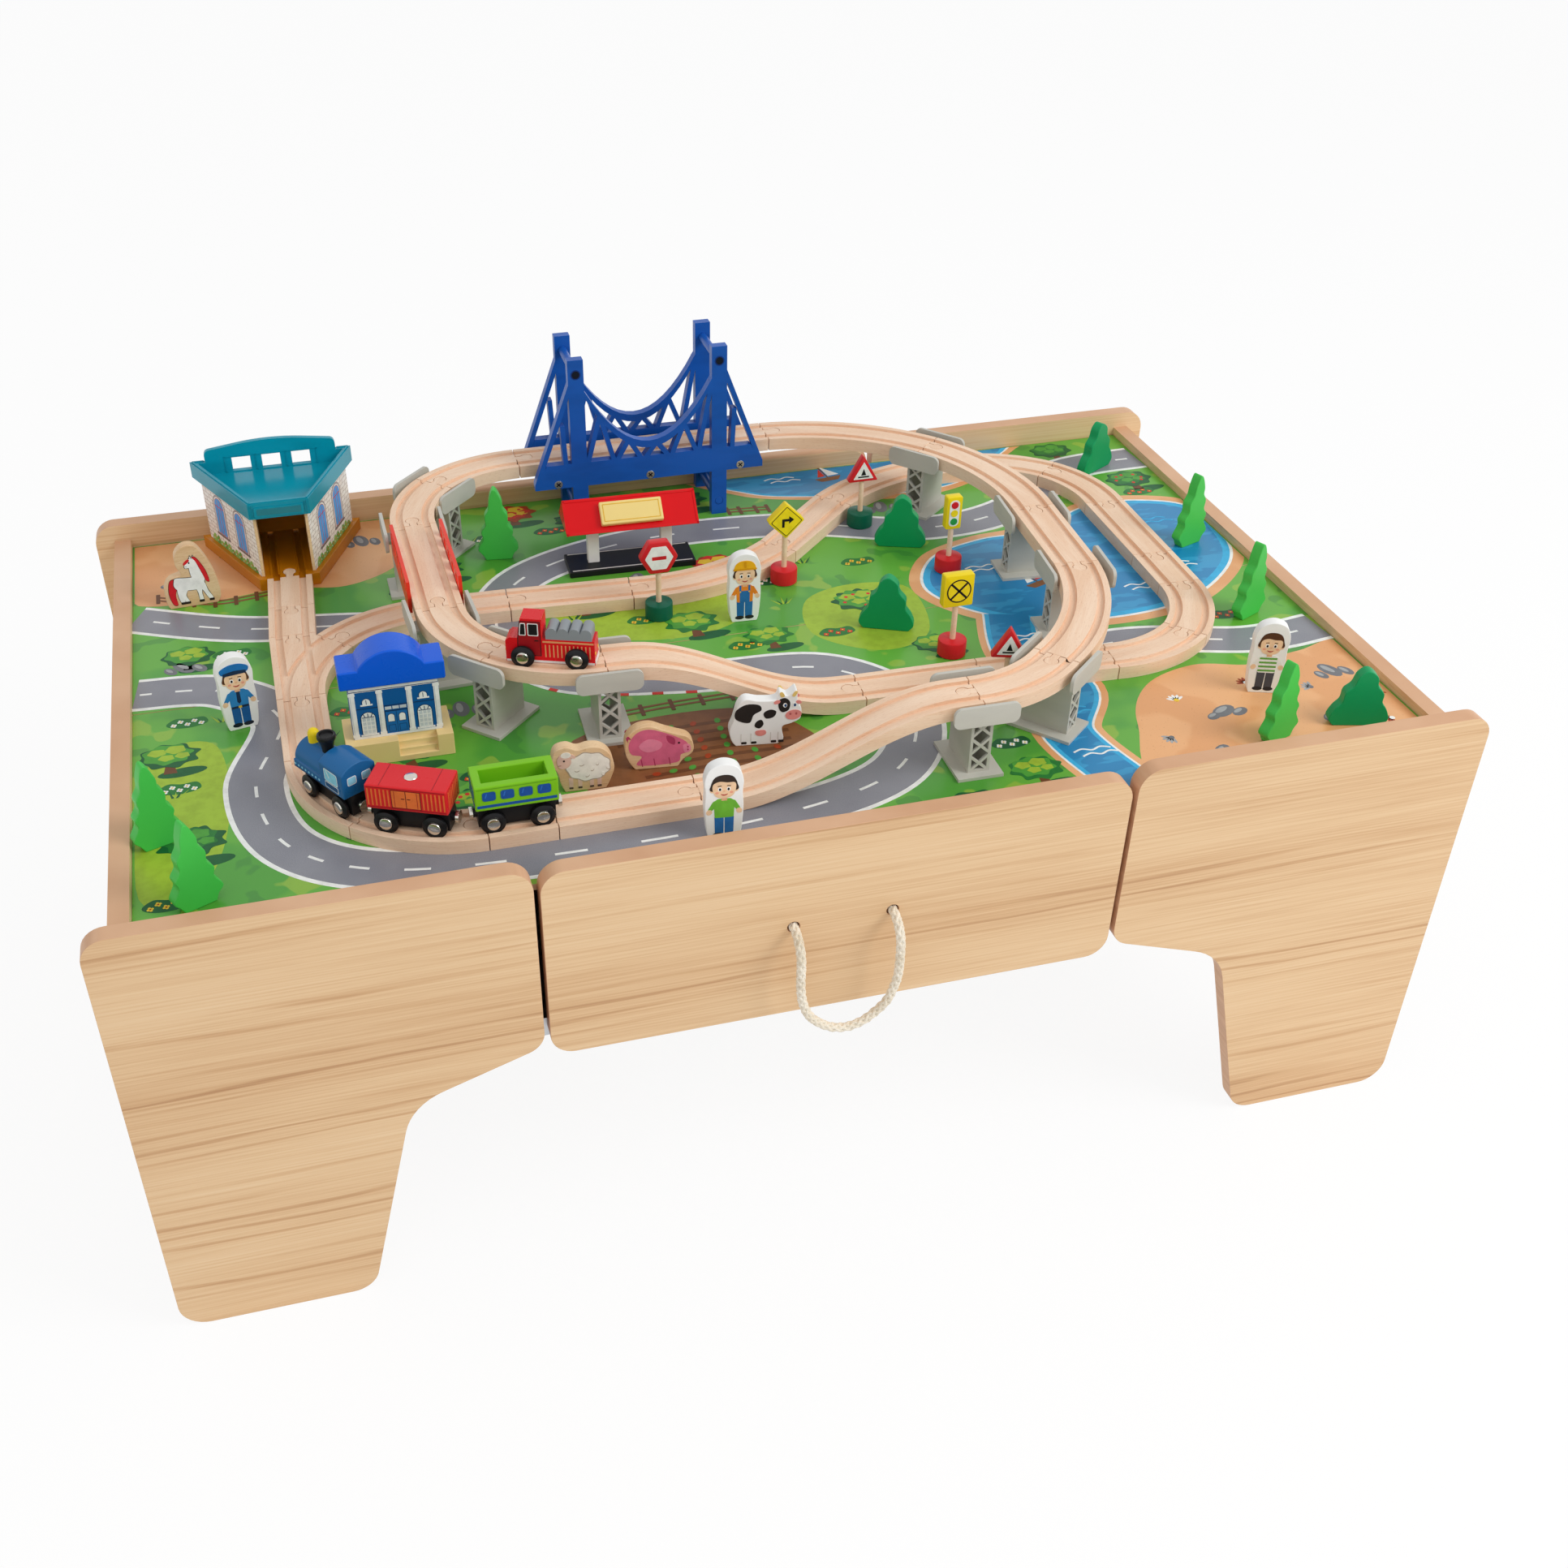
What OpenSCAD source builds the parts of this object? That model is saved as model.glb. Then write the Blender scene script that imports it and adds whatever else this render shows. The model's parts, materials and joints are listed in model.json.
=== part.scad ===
// Wooden train table with a drawer, a figure-eight railway and its toys.
// Millimetres, +Z up, origin on the floor under the middle of the table, drawer side towards -Y.

/* [Table] */
// Overall length
table_l = 1090; // [900:1:1300]
// Overall depth
table_d = 640; // [560:1:760]
// Height to the tops of the panels
table_h = 405; // [340:1:500]
// Thickness of panels and rails
panel_t = 15; // [12:0.5:20]
// Play surface below the panel tops
board_drop = 24; // [18:1:34]
// Thickness of the play board
board_t = 6; // [4:0.5:12]
// Rail top below the panel tops
rail_drop = 16; // [10:1:18]
// Panels reach past the side rails
rail_overhang = 17.3; // [5:0.1:30]
// Panel top to its lower edge beside the drawer
apron_h = 170; // [150:1:200]

/* [Legs] */
// Width of a leg panel at the floor
leg_toe_w = 154; // [110:1:180]
// Width of a leg panel at its knee
leg_knee_w = 203; // [180:1:230]
// Height of the knee above the floor
knee_z = 198; // [150:1:215]
// Radius in the knee
knee_r = 50; // [20:1:70]
// Radius of the foot corners
toe_r = 23; // [5:1:30]
// Radius of the other corners
corner_r = 19; // [5:1:25]

/* [Drawer] */
// Width of the drawer front
drawer_w = 462.6; // [400:0.2:480]
// Gap between the drawer front and the leg panels
drawer_gap = 4.5; // [2:0.5:8]
// Height of the drawer front
drawer_front_h = 176; // [150:1:190]
// Drawer front below the panel tops
drawer_drop = 5; // [3:0.5:12]
// Height of the drawer box
drawer_side_h = 80; // [50:1:95]
// Thickness of the drawer box
drawer_side_t = 12; // [9:0.5:16]
// Length of the drawer box behind its front
drawer_box_l = 420; // [320:1:480]
// Thickness of the drawer bottom
drawer_bottom_t = 4; // [3:0.5:8]
// Distance between the two rope holes
rope_hole_gap = 80; // [60:1:120]
// Rope holes below the panel tops
rope_hole_drop = 94; // [80:1:110]
// Diameter of the rope
rope_d = 8; // [6:0.5:9]

/* [Track] */
// Width of a track piece
track_w = 40; // [36:0.5:44]
// Thickness of a track piece
track_t = 12; // [10:0.5:15]
// Ridge outside each groove
ridge_w = 5.5; // [4.5:0.1:6]
// Width of a groove
groove_w = 6; // [5.8:0.1:7]
// Depth of a groove
groove_depth = 3; // [2:0.2:4]
// Diameter of a connector head
peg_d = 11.5; // [9:0.5:13]
// Gap between neighbouring track pieces
seam_gap = 0.8; // [0.5:0.1:1.5]
// Height of the raised track above the board
raised_h = 54; // [46:1:70]

/* [Bridge] */
// Height of the bridge towers
bridge_h = 172; // [150:1:220]
// Thickness of a side frame
bridge_t = 9; // [6:0.5:12]
// Clear width between the frames
bridge_clear_w = 54; // [50:1:70]
// Distance between the towers
tower_span = 138; // [110:1:160]
// Length of the lower chord
chord_l = 226; // [200:1:240]

/* [Rolling stock] */
// Diameter of a wheel
wheel_d = 19; // [16:0.5:21]
// Width of a wheel
wheel_w = 5; // [4:0.1:5.4]
// Diameter of an axle
axle_d = 3; // [2:0.1:4]
// Height of the wagon floors above the groove
deck_z = 23.5; // [21:0.5:28]
// Width of the engine and wagon bodies
wagon_w = 30; // [28:0.5:36]
// Length of a wagon body
wagon_l = 62; // [56:0.5:64]
// Height of a wagon body
wagon_body_h = 21; // [16:0.5:28]
// Wheelbase of a wagon
wagon_wheelbase = 37; // [32:0.5:40]
// Length of the engine body
engine_l = 64; // [58:0.5:66]
// Wheelbase of the engine
engine_wheelbase = 39; // [34:0.5:42]
// Length of the truck
truck_l = 71; // [64:0.5:80]
// Wheelbase of the truck
truck_wheelbase = 43; // [38:0.5:48]

/* [Buildings] */
// Height of the engine shed walls above the board
shed_wall_h = 72; // [60:1:90]
// Front width of the engine shed base
shed_front_w = 54; // [50:1:64]
// Back width of the engine shed base
shed_back_w = 148; // [130:1:160]
// Depth of the engine shed base
shed_d = 104; // [90:1:108]
// Length of the station base
station_l = 120; // [100:1:128]
// Depth of the station base
station_d = 38; // [32:1:44]
// Station eaves above the board
station_eave_h = 46; // [36:1:60]
// Width of the blue house base
house_w = 84; // [76:1:90]
// Depth of the blue house base
house_d = 42; // [36:1:46]
// Height of the blue house base
house_base_h = 20; // [14:1:26]
// Height of the blue house body
house_body_h = 47; // [40:1:60]

/* [Set pieces] */
// Thickness of wooden cut-outs
cutout_t = 10; // [8:0.5:14]
// Height of a standing person
person_h = 67; // [56:1:80]
// Height of a tall tree
tree_h = 72; // [60:1:84]
// Height of a bushy tree
bush_h = 52; // [44:1:60]
// Height of a road sign
sign_h = 80; // [70:1:95]
// Diameter of a sign base
sign_base_d = 25; // [20:0.5:28]

/* [Hidden] */
$fn = 48;
overrun = 1;
running_play = 0.08;
body_gap = 0.3;
fit_gap = 0.1;
corner_steps = 8;
curve_steps = 5;

// Colours of the finishes
pale_oak = [0.87, 0.77, 0.62];
beech = [0.88, 0.72, 0.57];
white_board = [0.92, 0.91, 0.88];
grass = [0.36, 0.62, 0.2];
cotton = [0.9, 0.88, 0.82];
pier_grey = [0.68, 0.68, 0.64];
bright_red = [0.85, 0.1, 0.1];
bridge_blue = [0.07, 0.2, 0.55];
steel = [0.75, 0.75, 0.76];
amber = [0.8, 0.5, 0.1];
teal = [0.05, 0.55, 0.62];
black_paint = [0.1, 0.1, 0.1];
signal_yellow = [0.95, 0.8, 0.2];
roof_blue = [0.1, 0.35, 0.85];
engine_blue = [0.1, 0.35, 0.6];
lime = [0.55, 0.78, 0.15];
load_grey = [0.55, 0.56, 0.58];
leaf_green = [0.15, 0.6, 0.25];

// Table: derived places
board_z = table_h - board_drop;
board_l = table_l - 2 * (rail_overhang + panel_t);
board_d = table_d - 2 * panel_t;
board_seam = 0.6;
panel_in_x = drawer_w / 2 + drawer_gap;
apron_z = table_h - apron_h;
rail_z = table_h - rail_drop;
cleat_t = 15;
under_board = board_z - board_t;
bearer_gap = 3;
bearer_x = panel_in_x + bearer_gap;
bearer_h = 130;
drawer_z = table_h - drawer_drop - drawer_front_h;
box_lift = 26;
box_z = drawer_z + box_lift;
box_side_gap = 10;
box_x = drawer_w / 2 - box_side_gap;
runner_h = 18;
runner_lap = 9;
cam_d = 15;
cam_depth = 12.5;
cam_inset = 34;
cam_drop_shares = [0.24, 0.76];
bolt_d = 6.4;
bolt_thread_d = 5;
bolt_thread_l = 10;
rope_hole_play = 1;
knot_d = 19;
rope_hole_z = table_h - rope_hole_drop;

// Rope: half of the route; share of the half gap, way in front of the drawer front, drop below the holes
rope_half = [
  [1, -panel_t, 0], [1, -panel_t / 2, 0], [1, 2, 0], [1, 10, 2], [1, 17, 7], [1, 21, 15], [1, 22, 26],
  [1, 22, 38], [0.98, 22, 50], [0.92, 21, 62], [0.8, 21, 74], [0.6, 20, 84], [0.32, 20, 92], [0, 20, 95]
];
rope_sides = 10;
rope_reference = [0, -1, 1];

// Railway: seams of the closed run, as shares of the play board, and the turn of each piece
loop_shares = [
  [-0.333, 0.095], [-0.251, 0.152], [-0.180, 0.149], [-0.071, 0.138], [0.078, 0.210], [0.157, 0.341],
  [0.309, 0.420], [0.386, 0.361], [0.411, 0.223], [0.408, 0.041], [0.406, -0.054], [0.372, -0.184],
  [0.291, -0.225], [0.178, -0.216], [0.072, -0.213], [-0.136, -0.193], [-0.215, -0.136], [-0.248, -0.003],
  [-0.250, 0.246], [-0.222, 0.380], [-0.140, 0.438], [0.103, 0.438], [0.246, 0.321], [0.291, 0.074],
  [0.284, -0.107], [0.205, -0.338], [0.125, -0.390], [-0.091, -0.390], [-0.200, -0.390], [-0.251, -0.390],
  [-0.333, -0.333], [-0.367, -0.195], [-0.367, -0.043]
];
loop_turns = [
  -45, 0, 0, 45, 0, -45, -45, -45, 0, 0, -45, -45, 0, 0, 0, -45, -45, 0, -45, -45, 0, -45, -45, 0,
  -45, -45, 0, 0, 0, -45, -45, 0
];
bridge_back_gap = 1.8;
ramp_up = 14;
ramp_down = 26;
pieces = len(loop_turns);
bridge_piece = 20;
guard_piece = 17;
pier_shares = [
  [15, 0], [16, 0], [19, 0], [22, 0], [23, 0], [24, 0], [25, 0], [26, 0], [16, 0.93], [18, 0.07]
];
siding_mid_share = [-0.3645, 0.212];
switch_clear = 5.4;
switch_steps = 16;
peg_neck_w = 6.5;
peg_reach = 10;
peg_play = 0.4;
peg_inset = 0.3;
run_overlap = 4;
ramp_steps = 24;
ramp_level_share = 0.085;
groove_y = track_w / 2 - ridge_w - groove_w / 2;
wheel_z = track_t - groove_depth + body_gap;

// Piers
pier_base = [38, 56, 3];
pier_tower = [18, 42];
pier_wall = 2.5;
pier_bar = 2.2;
pier_cells = 3;
cheek_l = 54;
cheek_gap = 5;
cheek_t = 3;
cheek_rise = 2;
cheek_drop = 4;
cheek_corner = 6;
saddle_t = 3;

// Guard rails
guard_t = 3;
guard_rise = 14;
guard_strap_w = 12;
guard_strap_t = 3;
guard_shares = [0.3, 0.7];
guard_arches = 5;
guard_gap = 0.5;
guard_y = track_w / 2 + body_gap;

// Bridge
tower_w = 15;
chord_drop = 8;
chord_z = raised_h - chord_drop;
chord_h = 24;
cable_t = 7;
cable_clear = 12;
cable_low = chord_z + chord_h + cable_clear;
cable_top_drop = 20;
hanger_w = 4.5;
hangers = 9;
rod_d = 8;
rod_drop = 14;
foot_rod_z = 14;
deck_bar = 8;
deck_bar_shares = [-0.4, 0, 0.4];
screw_head_d = 8;
screw_head_t = 2.5;
screw_d = 4;
bridge_mid = (seam(bridge_piece) + seam(bridge_piece + 1)) / 2;
frame_y = bridge_clear_w / 2;

// Rolling stock
chassis_w = 16.5;
chassis_z = 5;
rim_w = groove_w * 0.43;
taper_h = groove_depth + 0.2 * groove_depth;
hub_d = 10;
hub_t = 1;
coupler_z = 13;
coupler_d = 7;
coupler_l = 3;
magnet_d = 10;
magnet_t = 2.6;
chassis_short = 2;
boiler_d = 27;
boiler_lift = 7;
boiler_z = deck_z + boiler_lift;
cab_l = 29;
cab_side_h = 20.5;
cab_crown = 6;
funnel_h = 17;
funnel_d = [9, 14.5];
funnel_sink = 3;
dome_d = 9;
dome_h = 9;
hopper_wall = 6.5;
hopper_floor = 6;
roof_disc_d = 10;
truck_w = 16.5;
truck_low = 3;
truck_bed_z = 24.5;
truck_cab_z = 42;
truck_hood_shares = [0.5, 0.36, 0.32, 0.08];
truck_lumps = 4;
truck_load_h = 10;
truck_load_shares = [0.045, -0.47];

// Places of vehicles: piece of the run and share of its length
coupler_reach = coupler_l + magnet_t - chassis_short;
engine_gap = 2.7;
wagon_gap = 5.7;
engine_at_share = [30, 0.33];
truck_at_share = [15, 0.45];
red_wagon_place = place_behind(engine_at_share, (engine_l + wagon_l) / 2 + 2 * coupler_reach + engine_gap);
green_wagon_place = place_behind(red_wagon_place, wagon_l + 2 * coupler_reach + wagon_gap);

// Buildings
shed_mid_share = [-0.362, 0.389];
siding_end = on_board(shed_mid_share) - [0, shed_d / 2];
shed_base_h = track_t;
shed_rim = 5;
shed_wall_t = 5;
shed_door_w = 43;
shed_eave = 5;
shed_roof_t = 15;
shed_tray_t = 3;
shed_sill = 1;
shed_parapet_h = 11;
shed_parapet_rise = 8;
shed_parapet_t = 5;
shed_parapet_share = 0.81;
parapet_foot_r = 0.5;
parapet_top_r = 240;
shed_window_shares = [-0.228, 0, 0.228];
shed_window = [17, 13.5];
station_share = [-0.057, 0.251];
station_turn = -2;
station_base_h = 6;
station_post = [11, 8];
station_post_shares = [-0.29, 0.29];
station_roof_h = 24;
station_roof_d = 48;
station_roof_t = 7;
station_roof_over = 2;
sign_block = [58, 22, 6];
house_share = [-0.298, -0.169];
house_pier_share = [16, 0];
house_track_gap = 8.7;
house_pier_gap = 2;
house_body = [70, 24];
house_roof_h = 31;
house_roof_over = 6;
house_wing_h = 16;
house_dome_share = 0.64;
stair_w_share = 0.36;
stair_steps = 3;

// Set pieces
set_gap = 0.6;
run_samples = 24;
sign_base_h = 15;
post_d = 5;
plate_t = 9;
plate_d = 26;
light_plate = [15, 32];
square_plate = [27, 30];
tree_w = 40;
bush_w = 50;
person_w = 31;
sign_kinds = ["triangle", "light", "diamond", "hexagon", "square", "triangle"];
sign_place_shares = [
  [0.173, 0.284], [0.222, 0.105], [0.0702, 0.1350], [-0.054, 0.079], [0.171, -0.131], [0.182, -0.276]
];
sign_turns = [0, 0, 0, 0, 0, -18];
sign_height_shares = [0.92, 0.95, 1, 0.94, 0.98, 0.92];
tall_tree_place_shares = [
  [-0.481, -0.305], [-0.455, -0.436], [-0.172, 0.320], [0.460, 0.090], [0.447, -0.139], [0.372, -0.446]
];
tall_tree_turns = [20, 25, -8, 20, 25, 20];
bushy_tree_place_shares = [[0.444, 0.378], [0.196, 0.200], [0.132, -0.038], [0.445, -0.440]];
bushy_tree_turns = [30, -20, -25, -15];
person_place_shares = [[-0.415, -0.064], [0.016, 0.039], [-0.084, -0.464], [0.396, -0.333]];
person_turns = [12, -4, -6, -20];
cow_size = [60, 52];
pig_size = [56, 41];
sheep_size = [50, 42];
horse_size = [50, 61];
cow_place_share = [-0.020, -0.279];
cow_turn = -8;
pig_place_share = [-0.108, -0.296];
pig_turn = -6;
sheep_place_share = [-0.170, -0.320];
sheep_turn = -4;
horse_place_share = [-0.446, 0.292];
horse_turn = 5;
tree_shares = [
  [-0.30, 0], [0.30, 0], [0.36, 0.08], [0.47, 0.16], [0.34, 0.30], [0.37, 0.40], [0.26, 0.50], [0.27, 0.62],
  [0.17, 0.72], [0.16, 0.82], [0.05, 0.97], [-0.05, 0.99], [-0.14, 0.84], [-0.17, 0.72], [-0.27, 0.62],
  [-0.26, 0.50], [-0.37, 0.40], [-0.34, 0.30], [-0.47, 0.16], [-0.38, 0.08]
];
bush_shares = [
  [-0.40, 0], [0.40, 0], [0.49, 0.12], [0.42, 0.30], [0.33, 0.42], [0.32, 0.58], [0.20, 0.72], [0.16, 0.88],
  [0.00, 0.99], [-0.14, 0.90], [-0.20, 0.72], [-0.31, 0.60], [-0.33, 0.42], [-0.42, 0.30], [-0.49, 0.12]
];
person_shares = [
  [-0.36, 0], [0.36, 0], [0.42, 0.10], [0.47, 0.40], [0.45, 0.62], [0.47, 0.78], [0.36, 0.93],
  [0.12, 0.995], [-0.12, 0.995], [-0.36, 0.93], [-0.47, 0.78], [-0.45, 0.62], [-0.47, 0.40], [-0.42, 0.10]
];
cow_shares = [
  [-0.40, 0], [0.16, 0], [0.24, 0.08], [0.22, 0.30], [0.34, 0.36], [0.46, 0.44], [0.47, 0.62], [0.42, 0.74],
  [0.40, 0.96], [0.28, 0.86], [0.18, 0.92], [0.12, 0.80], [-0.10, 0.80], [-0.28, 0.84], [-0.38, 0.72],
  [-0.44, 0.46], [-0.49, 0.28], [-0.46, 0.10]
];
pig_shares = [
  [-0.34, 0], [0.26, 0], [0.34, 0.16], [0.47, 0.30], [0.48, 0.50], [0.40, 0.66], [0.26, 0.74], [0.08, 0.84],
  [-0.12, 0.96], [-0.32, 0.92], [-0.46, 0.72], [-0.48, 0.42], [-0.42, 0.16]
];
sheep_shares = [
  [-0.30, 0], [0.34, 0], [0.42, 0.20], [0.48, 0.46], [0.42, 0.74], [0.28, 0.90], [0.10, 0.94],
  [-0.08, 0.90], [-0.24, 0.98], [-0.42, 0.92], [-0.48, 0.68], [-0.40, 0.42], [-0.36, 0.20]
];
horse_shares = [
  [-0.44, 0], [0.40, 0], [0.47, 0.12], [0.46, 0.34], [0.40, 0.56], [0.30, 0.78], [0.16, 0.96],
  [-0.04, 0.98], [-0.20, 0.86], [-0.22, 0.68], [-0.16, 0.54], [-0.36, 0.48], [-0.48, 0.34], [-0.49, 0.12]
];

// Vectors and outlines
function unit(v) = v / norm(v);
function flat_angle(v) = atan2(v[1], v[0]);
function wrap(a) = a > 180 ? a - 360 : a < -180 ? a + 360 : a;
function on_board(share) = [share[0] * board_l, share[1] * board_d];

// Points that round the corner b, between a and c, with radius r
function corner_arc(a, b, c, r) =
  let (
    u = unit(a - b),
    v = unit(c - b),
    half = acos(u * v) / 2,
    reach = min(r / tan(half), norm(a - b) / 2, norm(c - b) / 2),
    radius = reach * tan(half),
    middle = b + unit(u + v) * radius / sin(half),
    from = flat_angle(b + u * reach - middle),
    sweep = wrap(flat_angle(b + v * reach - middle) - from)
  )
  [for (k = [0 : corner_steps]) middle + radius * [cos(from + sweep * k / corner_steps),
                                                   sin(from + sweep * k / corner_steps)]];

// Outline of [x, y, corner radius] rows
function rounded(rows) =
  let (n = len(rows), xy = [for (row = rows) [row[0], row[1]]])
  [for (i = [0 : n - 1]) each corner_arc(xy[(i + n - 1) % n], xy[i], xy[(i + 1) % n], rows[i][2])];

// Closed smooth curve through shares of a width and a height, with a flat foot between the first two
function smooth(shares, size) =
  let (n = len(shares), p = [for (s = shares) [s[0] * size[0], s[1] * size[1]]])
  [for (i = [0 : n - 1]) each i == 0 ? [p[0]] :
    [for (k = [0 : curve_steps - 1])
      let (
        t = k / curve_steps,
        before = p[i == 1 ? i : i - 1],
        after = p[(i + 1) % n],
        beyond = p[i == n - 1 ? 0 : (i + 2) % n]
      )
      (2 * p[i] + (after - before) * t + (2 * before - 5 * p[i] + 4 * after - beyond) * t * t
        + (3 * p[i] - before - 3 * after + beyond) * t * t * t) / 2]];

// Shapes used by several pieces
module block(size) {
  translate([-size[0] / 2, -size[1] / 2, 0]) cube(size);
}

module upright(t) {
  rotate([90, 0, 0]) linear_extrude(t, center = true) children();
}

module cutout(shares, size) {
  upright(cutout_t) polygon(smooth(shares, size));
}

// Place of a piece of some half width, kept on the board
function kept(place, half) =
  [for (k = [0, 1]) let (edge = (k == 0 ? board_l : board_d) / 2 - half) max(-edge, min(edge, place[k]))];

module on_table(share, turn) {
  translate([on_board(share)[0], on_board(share)[1], board_z]) rotate(turn) children();
}

// Railway: geometry of the run
function carries_bridge(i) = i == bridge_piece || i == bridge_piece + 1;
// Seams, with those at the bridge far enough from the back panel for its rear frame
function seam(i) =
  let (
    place = on_board(loop_shares[i]),
    furthest = board_d / 2 - bridge_back_gap - bridge_t - bridge_clear_w / 2
  )
  carries_bridge(i) ? [place[0], min(place[1], furthest)] : place;
function chord(i) = seam(i + 1) - seam(i);
function start_heading(i) = flat_angle(chord(i)) - loop_turns[i] / 2;
function end_heading(i) = flat_angle(chord(i)) + loop_turns[i] / 2;
function mean_angle(a, b) = atan2(sin(a) + sin(b), cos(a) + cos(b));
function seam_heading(i) =
  i == 0 ? mean_angle(start_heading(0), branch_heading()) :
  i == pieces ? end_heading(pieces - 1) : mean_angle(end_heading(i - 1), start_heading(i));
function seam_z(i) = i > ramp_up && i <= ramp_down ? raised_h : 0;
function branch_chord() = seam(0) - seam(pieces);
function switch_heading() = end_heading(pieces - 1);
function branch_turn() = 2 * wrap(flat_angle(branch_chord()) - switch_heading());
function branch_heading() = flat_angle(branch_chord()) + branch_turn() / 2;
function radius_of(length, turn) = length / (2 * sin(abs(turn) / 2));
// Point and heading at a share of the length of piece i
function run_pose(i, share) =
  let (
    turn = loop_turns[i],
    heading = start_heading(i) + turn * share,
    length = norm(chord(i)),
    step = turn == 0 ? length * share : 2 * radius_of(length, turn) * sin(abs(turn) * share / 2),
    along = start_heading(i) + turn * share / 2
  )
  [seam(i) + step * [cos(along), sin(along)], heading];

function run_length(i) =
  loop_turns[i] == 0 ? norm(chord(i)) :
  radius_of(norm(chord(i)), loop_turns[i]) * abs(loop_turns[i]) * PI / 180;
// Piece and share that lie a distance back along the run from another piece and share
function place_behind(place, distance) =
  let (before = place[1] * run_length(place[0]))
  distance <= before ? [place[0], (before - distance) / run_length(place[0])] :
  place_behind([place[0] - 1, 1], distance - before);

// Railway: cross-section and runs, starting at the origin along +X
module track_section() {
  difference() {
    translate([-track_w / 2, 0]) square([track_w, track_t]);
    for (side = [-1, 1]) {
      translate([side * groove_y - groove_w / 2, track_t - groove_depth])
        square([groove_w, groove_depth + overrun]);
    }
  }
}

// A section swept along a straight or a bend, longer than the piece by an overlap at both ends
module swept(length, turn) {
  if (turn == 0) {
    translate([-run_overlap, 0, 0]) rotate([90, 0, 90]) linear_extrude(length + 2 * run_overlap) children();
  } else {
    radius = radius_of(length, turn);
    more = run_overlap / radius * 180 / PI;
    mirror([0, turn < 0 ? 1 : 0, 0]) translate([0, radius, 0]) rotate(-90 - more)
      rotate_extrude(angle = abs(turn) + 2 * more, $fn = 160) translate([radius, 0]) children();
  }
}

function ramp_z(share) =
  raised_h * (1 - cos(180 * min(1, max(0, (share - ramp_level_share) / (1 - 2 * ramp_level_share))))) / 2;

module ramp_band(length, low, high, rising) {
  path = [for (k = [0 : ramp_steps])
    let (share = k / ramp_steps)
    [length * share, ramp_z(rising ? share : 1 - share)]];
  bottom = [for (p = path) p + [0, low]];
  top = [for (k = [0 : ramp_steps]) path[ramp_steps - k] + [0, high]];
  polygon(concat(bottom, top));
}

module ramp_run(length, rising) {
  difference() {
    upright(track_w) ramp_band(length, 0, track_t, rising);
    for (side = [-1, 1]) {
      translate([0, side * groove_y, 0]) upright(groove_w)
        ramp_band(length, track_t - groove_depth, track_t + overrun, rising);
    }
  }
}

// Connector, a little thinner than the track, or with play the hole for one, right through the track
module peg(play) {
  low = play > 0 ? -play : peg_inset;
  translate([0, 0, low]) linear_extrude(track_t - 2 * low) {
    translate([peg_reach, 0]) circle(d = peg_d + 2 * play);
    translate([-overrun, -peg_neck_w / 2 - play]) square([peg_reach + overrun, peg_neck_w + 2 * play]);
  }
}

module at_seam(point, heading, z) {
  translate([point[0], point[1], board_z + z]) rotate(heading) children();
}

// What lies past a seam, with half of the gap
module beyond_seam() {
  reach = track_w + run_overlap;
  translate([-seam_gap / 2, -reach, -reach]) cube([2 * reach, 2 * reach, 2 * reach + raised_h]);
}

module end_cuts(first, first_heading, last, last_heading) {
  at_seam(first, first_heading + 180, 0) beyond_seam();
  at_seam(last, last_heading, 0) beyond_seam();
}

module loop_piece(i) {
  is_ramp = i == ramp_up || i == ramp_down;
  length = norm(chord(i));
  difference() {
    at_seam(seam(i), start_heading(i), is_ramp ? 0 : seam_z(i)) {
      if (is_ramp) ramp_run(length, i == ramp_up);
      else swept(length, loop_turns[i]) track_section();
    }
    end_cuts(seam(i), seam_heading(i), seam(i + 1), seam_heading(i + 1));
    at_seam(seam(i), seam_heading(i), seam_z(i)) peg(peg_play);
    if (i == pieces - 1) at_seam(seam(pieces), end_heading(i) + 180, 0) peg(peg_play);
  }
  if (i < pieces - 1) at_seam(seam(i + 1), seam_heading(i + 1), seam_z(i + 1)) peg(0);
}

// Length of the straight in the switch, to where the next piece past the bend is clear of the siding
function switch_l() =
  let (
    turned = -branch_turn(),
    end = norm(branch_chord()) * [cos(turned / 2), -sin(turned / 2)],
    corner = end + track_w / 2 * [sin(turned), cos(turned)]
  )
  corner[0] + (corner[1] + track_w / 2) / tan(turned) + switch_clear;
function switch_top() = seam(pieces) + switch_l() * [cos(switch_heading()), sin(switch_heading())];
function siding_cut() = flat_angle(switch_top() - siding_end);

module siding_piece(first, first_cut, last, last_cut, peg_back) {
  heading = flat_angle(last - first);
  difference() {
    at_seam(first, heading, 0) swept(norm(last - first), 0) track_section();
    end_cuts(first, first_cut, last, last_cut);
    if (!peg_back) at_seam(first, heading, 0) peg(peg_play);
  }
  at_seam(last, heading, 0) peg(0);
  if (peg_back) at_seam(first, heading + 180, 0) peg(0);
}

module ground_tracks() {
  color(beech) {
    for (i = [0 : ramp_up - 1]) loop_piece(i);
    for (i = [ramp_down + 1 : pieces - 1]) loop_piece(i);
    siding_piece(siding_end, -90, on_board(siding_mid_share), siding_cut(), true);
    siding_piece(on_board(siding_mid_share), siding_cut(), switch_top(), switch_heading() + 180, false);
  }
}

// Switch, drawn flat from its single end along +X: a straight and a bend to the right
function bend_line(y) =
  let (radius = radius_of(norm(branch_chord()), branch_turn()))
  concat(
    [[-run_overlap, y]],
    [for (k = [0 : switch_steps])
      let (turned = -branch_turn() * k / switch_steps)
      [(radius + y) * sin(turned), (radius + y) * cos(turned) - radius]]
  );

module bend_strip(low, high) {
  back = bend_line(high);
  polygon(concat(bend_line(low), [for (k = [len(back) - 1 : -1 : 0]) back[k]]));
}

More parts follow.
